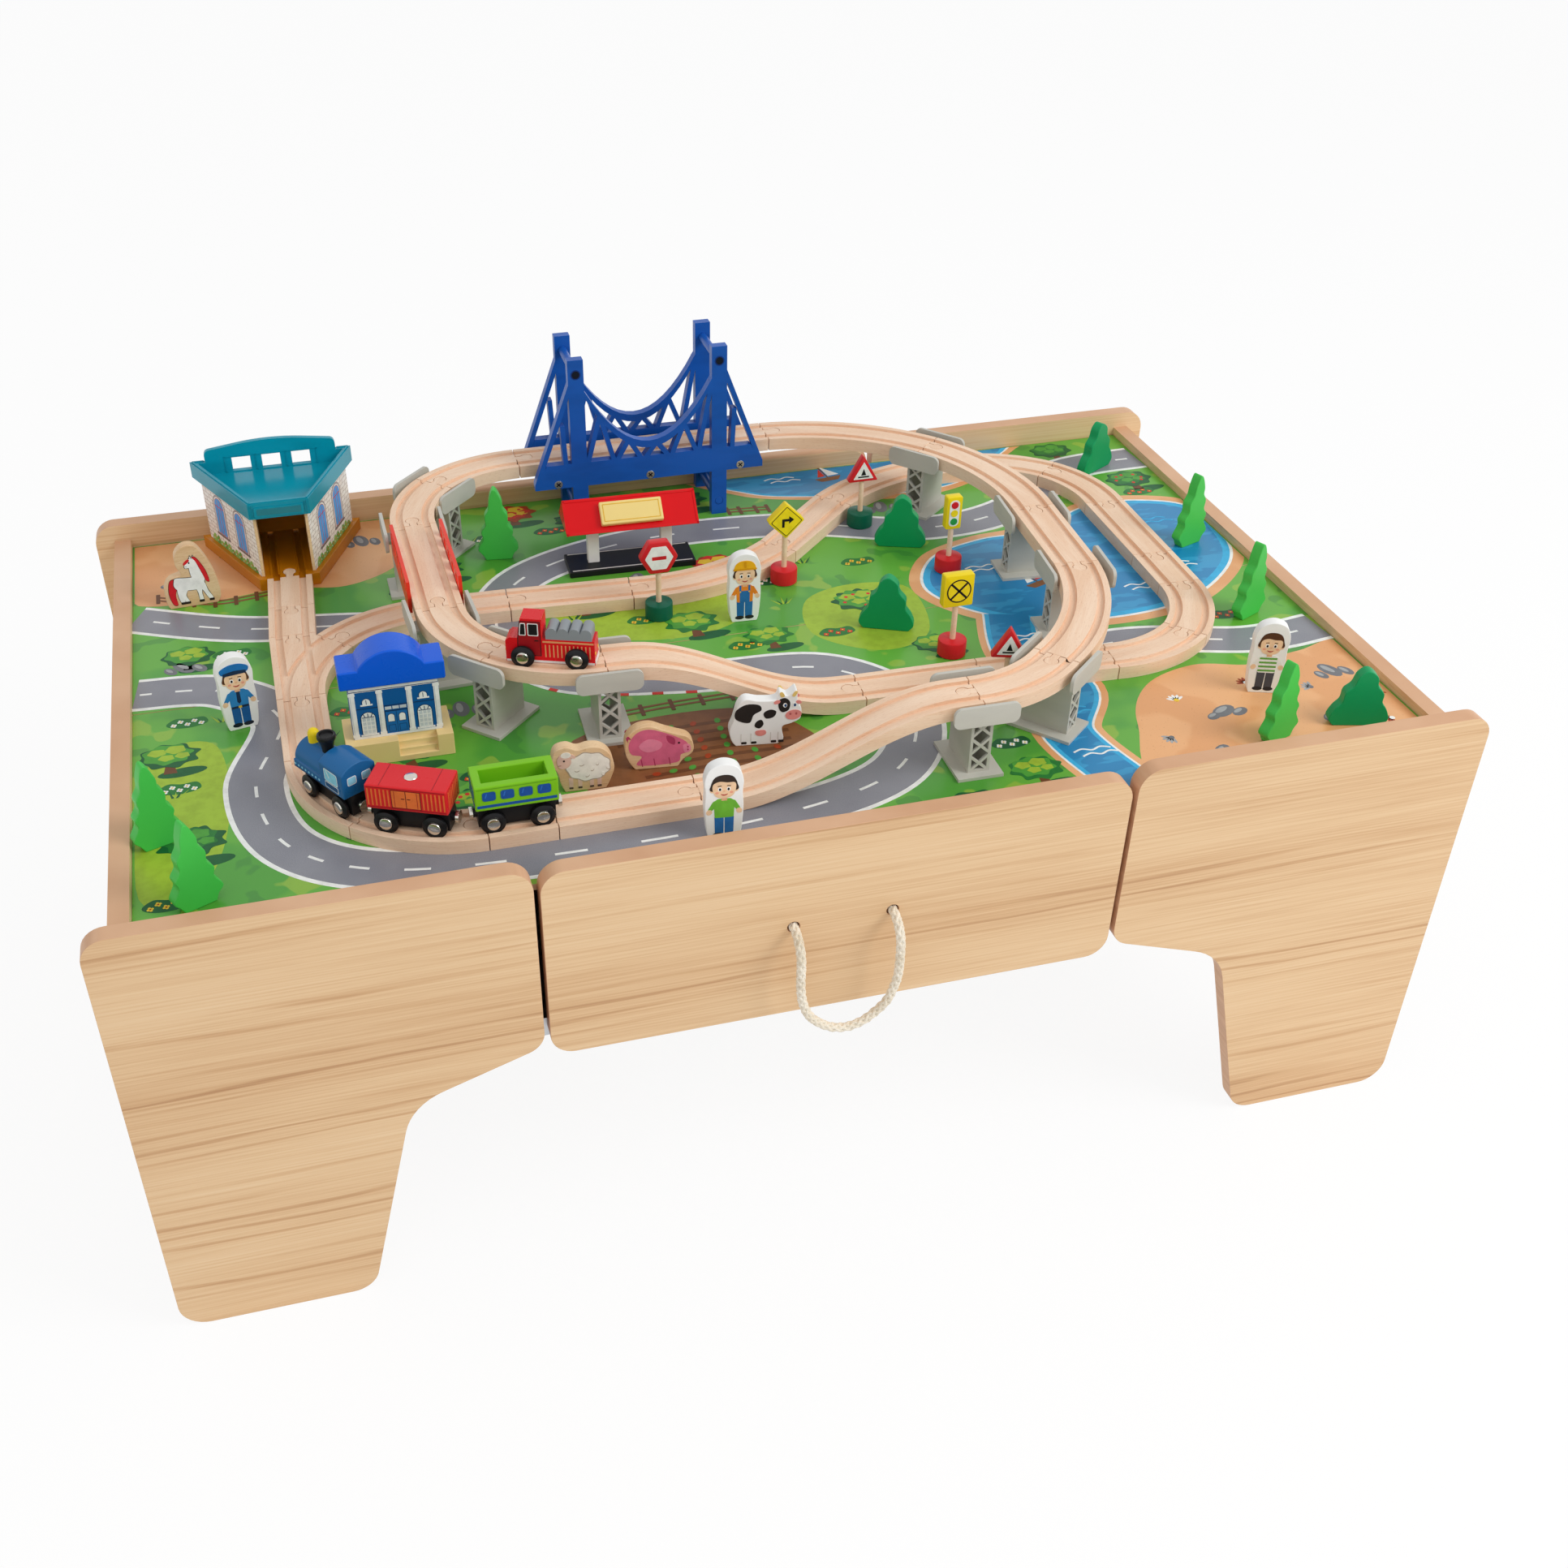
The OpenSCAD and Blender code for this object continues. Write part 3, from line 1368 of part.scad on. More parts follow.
module truck_load() {
  from = truck_l * truck_load_shares[1];
  to = truck_l * truck_load_shares[0];
  lump = (to - from) / truck_lumps;
  color(load_grey) on_track(truck_at_share, truck_wheelbase) translate([from, 0, truck_bed_z])
    upright(truck_w) {
      square([to - from, truck_load_h - lump / 2]);
      for (k = [0 : truck_lumps - 1]) {
        translate([(k + 1 / 2) * lump, truck_load_h - lump / 2]) circle(d = lump);
      }
    }
}

module truck_front_axle() {
  color(black_paint) on_track(truck_at_share, truck_wheelbase) wheel_set(truck_wheelbase / 2);
}

module truck_rear_axle() {
  color(black_paint) on_track(truck_at_share, truck_wheelbase) wheel_set(-truck_wheelbase / 2);
}

// Points along the run on the board, and a place of some half width moved clear of them
run_points = [for (i = [0 : pieces - 1], k = [0 : run_samples - 1])
  if (i <= ramp_up || i >= ramp_down) run_pose(i, k / run_samples)[0]];
function clear_of_run(place, half) =
  let (
    ways = [for (point = run_points) norm(place - point)],
    way = min(ways),
    point = run_points[search(way, ways)[0]],
    least = track_w / 2 + half + set_gap
  )
  way >= least ? place : point + unit(place - point) * least;

module standing(place, turn) {
  translate([place[0], place[1], board_z]) rotate(turn) children();
}

// Road signs
module sign_plate(kind) {
  if (kind == "triangle") circle(d = plate_d * 4 / 3, $fn = 3);
  if (kind == "diamond") circle(d = plate_d * 4 / 3, $fn = 4);
  if (kind == "hexagon") circle(d = plate_d * 4 / 3, $fn = 6);
  if (kind == "light") square(light_plate, center = true);
  if (kind == "square") square(square_plate, center = true);
}

function plate_top(kind) =
  kind == "light" ? light_plate[1] / 2 : kind == "square" ? square_plate[1] / 2 :
  kind == "hexagon" ? plate_d * 2 / 3 * cos(180 / 6) : plate_d * 2 / 3;

module road_sign(kind, h) {
  plate_z = h - plate_top(kind);
  color(leaf_green) cylinder(d = sign_base_d, h = sign_base_h);
  color(beech) cylinder(d = post_d, h = plate_z);
  color(signal_yellow) translate([0, 0, plate_z]) upright(plate_t)
    rotate(kind == "triangle" ? 90 : 0) sign_plate(kind);
}

module road_signs() {
  for (i = [0 : len(sign_kinds) - 1])
    standing(clear_of_run(on_board(sign_place_shares[i]), sign_base_d / 2), sign_turns[i])
      road_sign(sign_kinds[i], sign_h * sign_height_shares[i]);
}

module trees() {
  color(leaf_green) {
    for (i = [0 : len(tall_tree_turns) - 1])
      standing(kept(on_board(tall_tree_place_shares[i]), tree_w / 2), tall_tree_turns[i])
        cutout(tree_shares, [tree_w, tree_h]);
    for (i = [0 : len(bushy_tree_turns) - 1])
      standing(kept(on_board(bushy_tree_place_shares[i]), bush_w / 2), bushy_tree_turns[i])
        cutout(bush_shares, [bush_w, bush_h]);
  }
}

module wooden_figures() {
  color(white_board) {
    for (i = [0 : len(person_turns) - 1]) on_table(person_place_shares[i], person_turns[i])
      cutout(person_shares, [person_w, person_h]);
    on_table(cow_place_share, cow_turn) cutout(cow_shares, cow_size);
  }
  color(beech) {
    on_table(pig_place_share, pig_turn) cutout(pig_shares, pig_size);
    on_table(sheep_place_share, sheep_turn) cutout(sheep_shares, sheep_size);
    on_table(horse_place_share, horse_turn) cutout(horse_shares, horse_size);
  }
}

front_left_leg_panel();
front_right_leg_panel();
back_left_leg_panel();
back_right_leg_panel();
back_centre_panel();
left_side_rail();
right_side_rail();
play_board_front();
play_board_back();
board_cleats();
drawer_bearers();
drawer_runners();
cam_fittings();
drawer_front();
drawer_left_side();
drawer_right_side();
drawer_back();
drawer_bottom();
rope_handle();
handle_knots();
ground_tracks();
switch_track();
ramp_tracks();
raised_tracks();
track_piers();
guard_rails();
bridge_front_frame();
bridge_rear_frame();
bridge_cross_rods();
bridge_screws();
shed_base();
shed_walls();
shed_roof();
station_base();
station_posts();
station_roof();
station_sign();
house_base();
house_body();
house_roof();
engine_body();
engine_chassis();
engine_funnel_and_dome();
engine_front_axle();
engine_rear_axle();
red_wagon_body();
red_wagon_chassis();
red_wagon_front_axle();
red_wagon_rear_axle();
green_wagon_body();
green_wagon_chassis();
green_wagon_front_axle();
green_wagon_rear_axle();
truck_body();
truck_load();
truck_front_axle();
truck_rear_axle();
road_signs();
trees();
wooden_figures();
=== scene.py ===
import bmesh
import bpy
import json
import math
from mathutils import Matrix, Vector


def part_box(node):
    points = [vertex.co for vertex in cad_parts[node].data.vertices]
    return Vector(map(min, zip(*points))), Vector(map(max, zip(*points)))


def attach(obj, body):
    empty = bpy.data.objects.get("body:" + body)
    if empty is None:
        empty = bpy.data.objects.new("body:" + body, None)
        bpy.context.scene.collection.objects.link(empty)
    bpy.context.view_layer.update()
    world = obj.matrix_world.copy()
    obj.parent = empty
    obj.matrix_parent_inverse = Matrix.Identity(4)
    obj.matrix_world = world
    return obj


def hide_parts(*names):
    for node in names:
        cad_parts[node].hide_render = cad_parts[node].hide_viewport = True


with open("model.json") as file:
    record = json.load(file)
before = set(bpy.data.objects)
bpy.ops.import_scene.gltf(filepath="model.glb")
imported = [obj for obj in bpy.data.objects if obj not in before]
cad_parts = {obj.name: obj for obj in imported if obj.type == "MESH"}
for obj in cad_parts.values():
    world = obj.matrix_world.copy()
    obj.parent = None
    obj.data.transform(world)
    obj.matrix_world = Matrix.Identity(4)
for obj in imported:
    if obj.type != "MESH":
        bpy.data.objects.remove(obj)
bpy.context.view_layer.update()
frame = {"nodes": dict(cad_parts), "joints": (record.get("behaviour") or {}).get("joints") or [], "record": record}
mm = 0.001
print("frame loaded")


# Finishes: sockets that add and multiply, and one method that makes every node

def tint(code):  # six hex digits to a linear colour
    parts = [int(code[i:i + 2], 16) / 255 for i in (0, 2, 4)]
    return [p / 12.92 if p < 0.04045 else ((p + 0.055) / 1.055) ** 2.4 for p in parts] + [1]


def darker(code, share):
    return [c * share for c in tint(code)[:3]] + [1]


class Wire:  # a socket that can be added to and multiplied
    def __init__(self, finish, socket):
        self.finish, self.socket = finish, socket

    def sum(self, operation, a, b):
        return self.finish.node("Math", {"operation": operation}, {0: a, 1: b})

    def __add__(self, other):
        return self.sum("ADD", self, other)

    def __radd__(self, other):
        return self.sum("ADD", other, self)

    def __sub__(self, other):
        return self.sum("SUBTRACT", self, other)

    def __rsub__(self, other):
        return self.sum("SUBTRACT", other, self)

    def __mul__(self, other):
        return self.sum("MULTIPLY", self, other)

    def __rmul__(self, other):
        return self.sum("MULTIPLY", other, self)

    def __abs__(self):
        return self.finish.node("Math", {"operation": "ABSOLUTE"}, {0: self})


class Finish:
    def __init__(self, name, **plain):
        self.material = bpy.data.materials.new(name)
        self.material.use_nodes = True
        self.tree = self.material.node_tree
        self.shader = self.tree.nodes["Principled BSDF"]
        for key, value in plain.items():
            self.feed(key, value)

    def put(self, socket, value):
        if isinstance(value, Wire):
            self.tree.links.new(value.socket, socket)
        else:
            socket.default_value = tint(value) if isinstance(value, str) else value

    def feed(self, key, value):  # camelCase name of one of the shader's sockets
        words = "".join(" " + c if c.isupper() else c for c in key).title()
        self.put(self.shader.inputs[words.replace("Ior", "IOR")], value)

    def node(self, kind, settings, inputs, output=0):
        made = self.tree.nodes.new("ShaderNode" + kind)
        for key, value in settings.items():
            if key == "stops":
                while len(made.color_ramp.elements) < len(value):
                    made.color_ramp.elements.new(1)
                for stop, (at, code) in zip(made.color_ramp.elements, value):
                    stop.position, stop.color = at, tint(code)
            else:
                setattr(made, key, value)
        for key, value in inputs.items():
            self.put(made.inputs[key], value)
        return Wire(self, made.outputs[output])

    def where(self, scale=(1, 1, 1), turn=0, source="Object"):
        place = self.node("TexCoord", {}, {}, source)
        turned = (0, 0, math.radians(turn))
        return self.node("Mapping", {}, {"Vector": place, "Scale": scale, "Rotation": turned})

    def cloud(self, place, scale=1, detail=3):
        return self.node("TexNoise", {}, {"Vector": place, "Scale": scale, "Detail": detail})

    def step(self, value, low, high):
        settings = {"interpolation_type": "SMOOTHSTEP"}
        return self.node("MapRange", settings, {"Value": value, "From Min": low, "From Max": high})

    def mix(self, share, a, b):
        return self.node("Mix", {"data_type": "RGBA"}, {0: share, 6: a, 7: b}, 2)

    def axis(self, vector, name):
        return self.node("SeparateXYZ", {}, {0: vector}, name)

    def bump(self, height, depth, strength=1.0):
        inputs = {"Height": height, "Distance": depth, "Strength": strength}
        self.feed("normal", self.node("Bump", {}, inputs))


def oak(name, faceAxis):  # printed oak foil on the broad faces, redder lipping on the edges
    f = Finish(name, coatWeight=0.05, coatRoughness=0.35, specularIorLevel=0.3)
    turn = 0 if faceAxis == "Y" else 90
    broad = f.cloud(f.where((0.9, 1, 8), turn), 1.0, 2)
    wander = f.cloud(f.where((2.2, 1, 30), turn), 1.0, 4)
    fibre = f.cloud(f.where((7, 60, 640), turn), 1.0, 4)
    height = f.axis(f.where(), "Z")
    rings = f.node("Math", {"operation": "SINE"}, {0: height * 430 + broad * 30 + wander * 11})
    lines = f.step(rings, 0.5, 1.0) * f.step(wander, 0.42, 0.66)
    tone = broad * 0.55 + wander * 0.22 + fibre * 0.4 + lines * 0.2 - 0.12
    stops = [(0.22, "f0d3ac"), (0.44, "e5c297"), (0.6, "d5ac80"), (0.84, "b88a60")]
    ramp = f.node("ValToRGB", {"stops": stops}, {"Fac": tone})
    edge = f.mix(f.cloud(f.where((14, 14, 200), turn), 1.0, 3), "e6bd99", "c4906a")
    facing = abs(f.axis(f.node("TexCoord", {}, {}, "Normal"), faceAxis))
    f.feed("baseColor", f.mix(f.step(facing, 0.8, 0.97), edge, ramp))
    f.feed("roughness", 0.36 + fibre * 0.2)
    f.bump(fibre - lines * 0.4, 0.00012, 0.5)
    return f


def beech(name, light="f6d9be", mid="ebc5a5", fleck="c39470", source="UV"):
    f = Finish(name, coatWeight=0.05, coatRoughness=0.4, specularIorLevel=0.3)
    broad = f.cloud(f.where((7, 55, 55), 0, source), 1.0, 3)
    fibre = f.cloud(f.where((40, 900, 900), 0, source), 1.0, 3)
    dash = f.cloud(f.where((210, 1900, 1900), 0, source), 1.0, 1)
    marks = f.step(dash, 0.6, 0.74)
    base = f.mix(f.step(broad * 0.7 + fibre * 0.3, 0.34, 0.66), light, mid)
    f.feed("baseColor", f.mix(marks * 0.42, base, fleck))
    f.feed("roughness", 0.46 + fibre * 0.16)
    f.bump(fibre - marks * 0.5, 0.00008, 0.5)
    return f


def paint(name, code, rough=0.3, worn="d9b58c", wear=0.35):  # lacquer on wood, rubbed through on its edges
    f = Finish(name, coatWeight=0.05, coatRoughness=0.15, specularIorLevel=0.18)
    shade = f.cloud(f.where(), 55, 4)
    speck = f.cloud(f.where(), 900, 2)
    rounded = f.node("Bevel", {"samples": 4}, {"Radius": 0.0011})
    plain = f.node("NewGeometry", {}, {}, "Normal")
    turn = 1 - f.node("VectorMath", {"operation": "DOT_PRODUCT"}, {0: rounded, 1: plain}, "Value")
    rub = f.step(turn, 0.015, 0.16) * f.step(shade, 0.42, 0.62) * wear
    dark = darker(code, 0.8)
    f.feed("baseColor", f.mix(rub, f.mix(shade * 0.4, code, dark), worn))
    f.feed("roughness", rough - 0.06 + shade * 0.14)
    f.bump(shade + speck * 0.25, 0.00012, 0.35)
    return f


def plastic(name, code, rough=0.32, deep=0.78, **plain):  # moulded, with a fine skin and flow marks
    f = Finish(name, specularIorLevel=0.22, **plain)
    flow = f.cloud(f.where((18, 18, 60)), 1.0, 3)
    skin = f.cloud(f.where(), 1400, 2)
    dark = darker(code, deep)
    f.feed("baseColor", f.mix(f.step(flow, 0.35, 0.75), code, dark))
    f.feed("roughness", rough - 0.05 + flow * 0.1 + skin * 0.05)
    f.bump(skin, 0.00003, 0.5)
    return f


def metal(name, code, rough=0.22):
    f = Finish(name, metallic=1.0)
    scratch = f.cloud(f.where((2400, 300, 300)), 1.0, 2)
    cloudy = f.cloud(f.where(), 260, 3)
    dark = darker(code, 0.7)
    f.feed("baseColor", f.mix(cloudy * 0.6, code, dark))
    f.feed("roughness", rough - 0.05 + scratch * 0.14)
    f.bump(scratch, 0.00002, 0.4)
    return f


inks = {}


def ink(code):  # printed colour under clear lacquer
    if code not in inks:
        f = Finish("ink." + code, coatWeight=0.03, coatRoughness=0.25, specularIorLevel=0.18)
        blot = f.cloud(f.where(), 130, 3)
        dots = f.cloud(f.where(), 2600, 1)
        dark = darker(code, 0.84)
        f.feed("baseColor", f.mix(f.step(blot * 0.75 + dots * 0.25, 0.38, 0.7), code, dark))
        f.feed("roughness", 0.32 + blot * 0.1)
        f.bump(dots, 0.00001, 0.3)
        inks[code] = f
    return inks[code]


# Mesh helpers: distances in metres, angles in degrees

meshing = {"merge": 2e-6, "spinMerge": 1e-7, "flat": 0.6, "softCopySmooth": 38, "cornerSteps": 4,
           "blobSteps": 5}


def newObject(name, mesh, finishes, body, nodes=(), smooth=35):
    made = bpy.data.objects.new(name, mesh)
    bpy.context.scene.collection.objects.link(made)
    for finish in finishes:
        mesh.materials.append(finish.material)
    mesh.polygons.foreach_set("use_smooth", [True] * len(mesh.polygons))
    mesh.set_sharp_from_angle(angle=math.radians(smooth))
    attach(made, body)
    if nodes:
        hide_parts(*nodes)
    return made


def piece(name, bm, finishes, body, *nodes, smooth=35, evenNormals=False):
    mesh = bpy.data.meshes.new(name)
    bm.to_mesh(mesh)
    bm.free()
    made = newObject(name, mesh, finishes, body, nodes, smooth)
    if evenNormals:
        made.modifiers.new("evenNormals", "WEIGHTED_NORMAL").keep_sharp = True
    return made


def solidOf(node):  # the CAD solids of a node, their loose triangles merged and flat faces joined
    bm = bmesh.new()
    bm.from_mesh(frame["nodes"][node].data)
    for face in bm.faces:
        face.material_index = 0
    bmesh.ops.remove_doubles(bm, verts=bm.verts, dist=meshing["merge"])
    bmesh.ops.dissolve_limit(bm, angle_limit=math.radians(meshing["flat"]), verts=bm.verts, edges=bm.edges)
    return bm


def roundEdges(bm, width, segments=2, least=30, pick=None):
    limit = math.radians(least)
    edges = [e for e in bm.edges if len(e.link_faces) == 2 and e.is_convex
             and e.calc_face_angle(0) > limit and (pick is None or pick(e))]
    bmesh.ops.bevel(bm, geom=edges, offset=width * mm, offset_type="OFFSET", affect="EDGES",
                    segments=segments, profile=0.5, material=-1, clamp_overlap=True)
    return bm


def bodyOf(node):
    return next(body for body, nodes in frame["record"]["behaviour"]["bodies"].items() if node in nodes)


def camel(node):
    first, *rest = node.split("_")
    return first + "".join(word.title() for word in rest)


def softCopy(node, finish, width, segments=2, least=30, pick=None, change=None, more=()):
    bm = roundEdges(solidOf(node), width, segments, least, pick)
    if change:
        change(bm)
    made = piece(camel(node), bm, [finish, *more], bodyOf(node), node, smooth=meshing["softCopySmooth"],
                 evenNormals=True)
    return made


def islands(bm):
    left = set(bm.faces)
    while left:
        group, todo = [], [left.pop()]
        while todo:
            face = todo.pop()
            group.append(face)
            for edge in face.edges:
                for other in edge.link_faces:
                    if other in left:
                        left.remove(other)
                        todo.append(other)
        yield group


def grainUv(bm):  # every loose solid gets a map whose first axis follows its length
    layer = bm.loops.layers.uv.new("grain")
    for index, group in enumerate(sorted(islands(bm), key=lambda g: tuple(g[0].calc_center_median()))):
        points = [v.co for f in group for v in f.verts]
        centre = sum(points, Vector()) / len(points)
        xx = sum((p.x - centre.x) ** 2 for p in points)
        yy = sum((p.y - centre.y) ** 2 for p in points)
        xy = sum((p.x - centre.x) * (p.y - centre.y) for p in points)
        angle = 0.5 * math.atan2(2 * xy, xx - yy)
        along, upward = Vector((math.cos(angle), math.sin(angle), 0)), Vector((0, 0, 1))
        across = upward.cross(along)
        shift = Vector((index * 0.37 % 3, index * 0.61 % 2))
        for face in group:
            second = upward if abs(face.normal.z) < 0.5 else across
            for loop in face.loops:
                p = loop.vert.co - centre
                loop[layer].uv = Vector((p.dot(along), p.dot(second))) + shift


def curve(points, steps=6, closed=True):  # smooth line through given points
    n = len(points)
    pts = [Vector(p) for p in points]
    out = []
    for i in range(n if closed else n - 1):
        a, b, c, d = (pts[(i + k) % n] if closed else pts[min(max(i + k, 0), n - 1)] for k in (-1, 0, 1, 2))
        for s in range(steps):
            t = s / steps
            out.append(0.5 * (2 * b + (c - a) * t + (2 * a - 5 * b + 4 * c - d) * t ** 2
                              + (3 * b - a - 3 * c + d) * t ** 3))
    return out if closed else out + [pts[-1]]


def grown(points, by):  # points moved away from their middle
    middle = sum((Vector(p) for p in points), Vector((0, 0))) / len(points)
    return [tuple(Vector(p) + (Vector(p) - middle).normalized() * by) for p in points]


class Sheet:  # the thin printed layers of one piece: flat shapes in millimetres, each in a named finish
    foot = 0.15  # how far a layer reaches into the face that carries it
    lowest, rising = 0.1, 0.012  # a shape with no height of its own lies a little above the one before

    def __init__(self, steps=20, **finishes):
        self.bm, self.place, self.steps, self.rise = bmesh.new(), Matrix(), steps, 0
        self.finishes = {name: ink(f) if isinstance(f, str) else f for name, f in finishes.items()}

    def on(self, place):
        self.place, self.rise = place, 0
        return self

    def slot(self, colour):
        if colour not in self.finishes:
            self.finishes[colour] = ink(colour)
        return list(self.finishes).index(colour)

    def thicken(self, faces, colour, height):
        if height is None:
            self.rise += self.rising
            height = self.lowest + self.rise
        for face in faces:
            face.normal_update()
            if face.normal.z < 0:
                face.normal_flip()
        made = bmesh.ops.extrude_face_region(self.bm, geom=faces, use_keep_orig=True)["geom"]
        top = [g for g in made if isinstance(g, bmesh.types.BMVert)]
        bmesh.ops.translate(self.bm, verts=top, vec=(0, 0, (height + self.foot) * mm))
        verts = set(top) | {v for f in faces for v in f.verts}
        for face in faces:
            face.normal_flip()
        slot = self.slot(colour)
        for face in {f for v in verts for f in v.link_faces}:
            face.material_index = slot
        bmesh.ops.transform(self.bm, matrix=self.place, verts=list(verts))

    def shape(self, colour, points, corner=0, height=None):
        verts = [self.bm.verts.new((x * mm, y * mm, -self.foot * mm)) for x, y in points]
        face = self.bm.faces.new(verts)
        if corner:
            cut = bmesh.ops.bevel(self.bm, geom=verts, offset=corner * mm, offset_type="OFFSET",
                                  affect="VERTICES", segments=meshing["cornerSteps"], profile=0.5,
                                  material=-1, clamp_overlap=True)
            face = max({f for v in cut["verts"] for f in v.link_faces}, key=lambda f: f.calc_area())
        self.thicken([face], colour, height)

    def blob(self, colour, points, height=None):
        self.shape(colour, curve(points, meshing["blobSteps"]), height=height)

    def disc(self, colour, x, y, rx, ry=None, turn=0, steps=None, height=None):
        spot = at(x, y, -self.foot, turn) @ Matrix.Diagonal((1, (ry or rx) / rx, 1, 1))
        made = bmesh.ops.create_circle(self.bm, cap_ends=True, segments=steps or self.steps, radius=rx * mm,
                                       matrix=spot)["verts"]
        self.thicken(list(set(made[0].link_faces)), colour, height)

    def box(self, colour, x, y, w, h, corner=0, turn=0, height=None):
        c, s = math.cos(math.radians(turn)), math.sin(math.radians(turn))
        points = [(x + c * a * w / 2 - s * b * h / 2, y + s * a * w / 2 + c * b * h / 2)
                  for a, b in ((-1, -1), (1, -1), (1, 1), (-1, 1))]
        self.shape(colour, points, corner, height)

    def arch(self, colour, x, y, w, h, steps=10, height=None):  # round-headed, y at its foot
        r, angles = w / 2, [math.pi * k / steps for k in range(steps + 1)]
        top = [(x + r * math.cos(a), y + h - r + r * math.sin(a)) for a in angles]
        self.shape(colour, [(x - r, y), (x + r, y)] + top, height=height)

    def boxes(self, rows, x=0, hand=1):  # rows of colour, across, y, width, height, rise, corner and turn
        for colour, across, y, w, h, rise, *rest in rows:
            corner, turn = (*rest, 0, 0)[:2]
            self.box(colour, x + hand * across, y, w, h, corner, hand * turn, rise)

    def arches(self, rows, x, steps=10):  # rows of colour, foot, width, height and rise
        for colour, foot, w, h, rise in rows:
            self.arch(colour, x, foot, w, h, steps, rise)

    def discs(self, rows, hand=1):  # rows of colour, across, y, radius, rise and number of sides
        for colour, across, y, radius, rise, steps in rows:
            self.disc(colour, hand * across, y, radius, steps=steps, height=rise)

    def ribbon(self, colour, line, width, offset=0, height=None):  # a cross edge pushed along a line
        edge, faces = None, []
        for i, p in enumerate(line):
            way = (line[min(i + 1, len(line) - 1)] - line[max(i - 1, 0)]).normalized()
            side = Vector((-way.y, way.x))
            ends = [p + side * (offset + s * width / 2) for s in (-1, 1)]
            spots = [Vector((e.x * mm, e.y * mm, -self.foot * mm)) for e in ends]
            if edge is None:
                edge = self.bm.edges.new([self.bm.verts.new(s) for s in spots])
                continue
            old = edge.verts[:]
            made = bmesh.ops.extrude_edge_only(self.bm, edges=[edge])["geom"]
            edge = next(g for g in made if isinstance(g, bmesh.types.BMEdge) and not set(g.verts) & set(old))
            faces += [g for g in made if isinstance(g, bmesh.types.BMFace)]
            for v in edge.verts:
                mate = next(e.other_vert(v) for e in v.link_edges if e.other_vert(v) in old)
                v.co = spots[old.index(mate)]
        self.thicken(faces, colour, height)

    def done(self, name, body, slot, *nodes, smooth=30):
        return piece(name, self.bm, self.finishes.values(), body, *nodes, smooth=smooth)


def spun(bm, profile, place, slot=0, steps=32, slots=None):  # (radius, height) points turned about Z
    verts = [bm.verts.new((r * mm, 0, z * mm)) for r, z in profile]
    edges = [bm.edges.new(pair) for pair in zip(verts, verts[1:])]
    before = set(bm.faces)
    bmesh.ops.spin(bm, geom=verts + edges, cent=(0, 0, 0), axis=(0, 0, 1), dvec=(0, 0, 0),
                   angle=2 * math.pi, steps=steps, use_merge=True)
    faces = [f for f in bm.faces if f not in before]
    points = list({v for f in faces for v in f.verts})
    bmesh.ops.remove_doubles(bm, verts=points, dist=meshing["spinMerge"])
    faces = [f for f in bm.faces if f not in before]
    bmesh.ops.recalc_face_normals(bm, faces=faces)
    for face in faces:
        middle = face.calc_center_median()
        face.material_index = slots(middle.xy.length / mm, middle.z / mm) if slots else slot
    bmesh.ops.transform(bm, matrix=place, verts=list({v for f in faces for v in f.verts}))


def at(x, y, z, turn=0):
    return Matrix.Translation((x * mm, y * mm, z * mm)) @ Matrix.Rotation(math.radians(turn), 4, "Z")


table = {"boardTop": 381, "boardLength": 1025.4, "boardDepth": 610}
facingFront = Matrix.Rotation(math.radians(90), 4, "X")  # flat drawings stand up and face -Y


def onBoard(share, turn=0):
    return at(share[0] * table["boardLength"], share[1] * table["boardDepth"], table["boardTop"], turn)


def frontOf(place, depth):
    return place @ at(0, -depth, 0) @ facingFront


def backOf(place, depth):
    return place @ at(0, 0, 0, 180) @ at(0, -depth, 0) @ facingFront


def bothSides(place, half):
    return frontOf(place, half), backOf(place, half)


# Camera, light and floor

view = {"place": (-0.3622, -1.2829, 1.1619), "right": (0.96487, -0.26269, 0.00424),
        "forward": (0.21379, 0.77566, -0.59384), "lens": 39.82, "sensor": 36, "shift": (0.0393, 0.0219)}
right, forward = Vector(view["right"]).normalized(), Vector(view["forward"]).normalized()
up = right.cross(forward)
cameraData = bpy.data.cameras.new("photoView")
cameraData.lens, cameraData.sensor_width = view["lens"], view["sensor"]
cameraData.shift_x, cameraData.shift_y = view["shift"]
camera = bpy.data.objects.new("photoView", cameraData)
bpy.context.scene.collection.objects.link(camera)
turned = Matrix((right, up, -forward)).transposed().to_4x4()
camera.matrix_world = Matrix.Translation(view["place"]) @ turned
bpy.context.scene.camera = camera
bpy.context.scene.view_settings.view_transform = "Standard"

light = {"skyStrength": 0.64, "keyPower": 44, "keySize": 1.5, "keyPlace": (2.0, -1.5, 2.3),
         "fillPower": 5, "fillSize": 2.2, "fillPlace": (-1.6, -1.5, 2.0), "aim": (0, 0, 0.35),
         "floor": "ffffff", "floorGlow": 0.9, "floorHalf": 9}
world = bpy.data.worlds.new("studio")
bpy.context.scene.world = world
world.use_nodes = True
sky = world.node_tree.nodes["Background"]
path = world.node_tree.nodes.new("ShaderNodeLightPath")
seen, mirrored = (world.node_tree.nodes.new("ShaderNodeMath") for _ in range(2))
seen.operation = mirrored.operation = "MAXIMUM"
lift = world.node_tree.nodes.new("ShaderNodeMapRange")
world.node_tree.links.new(path.outputs["Is Camera Ray"], seen.inputs[0])
world.node_tree.links.new(path.outputs["Is Transmission Ray"], seen.inputs[1])
world.node_tree.links.new(seen.outputs[0], mirrored.inputs[0])
world.node_tree.links.new(path.outputs["Is Glossy Ray"], mirrored.inputs[1])
world.node_tree.links.new(mirrored.outputs[0], lift.inputs["Value"])
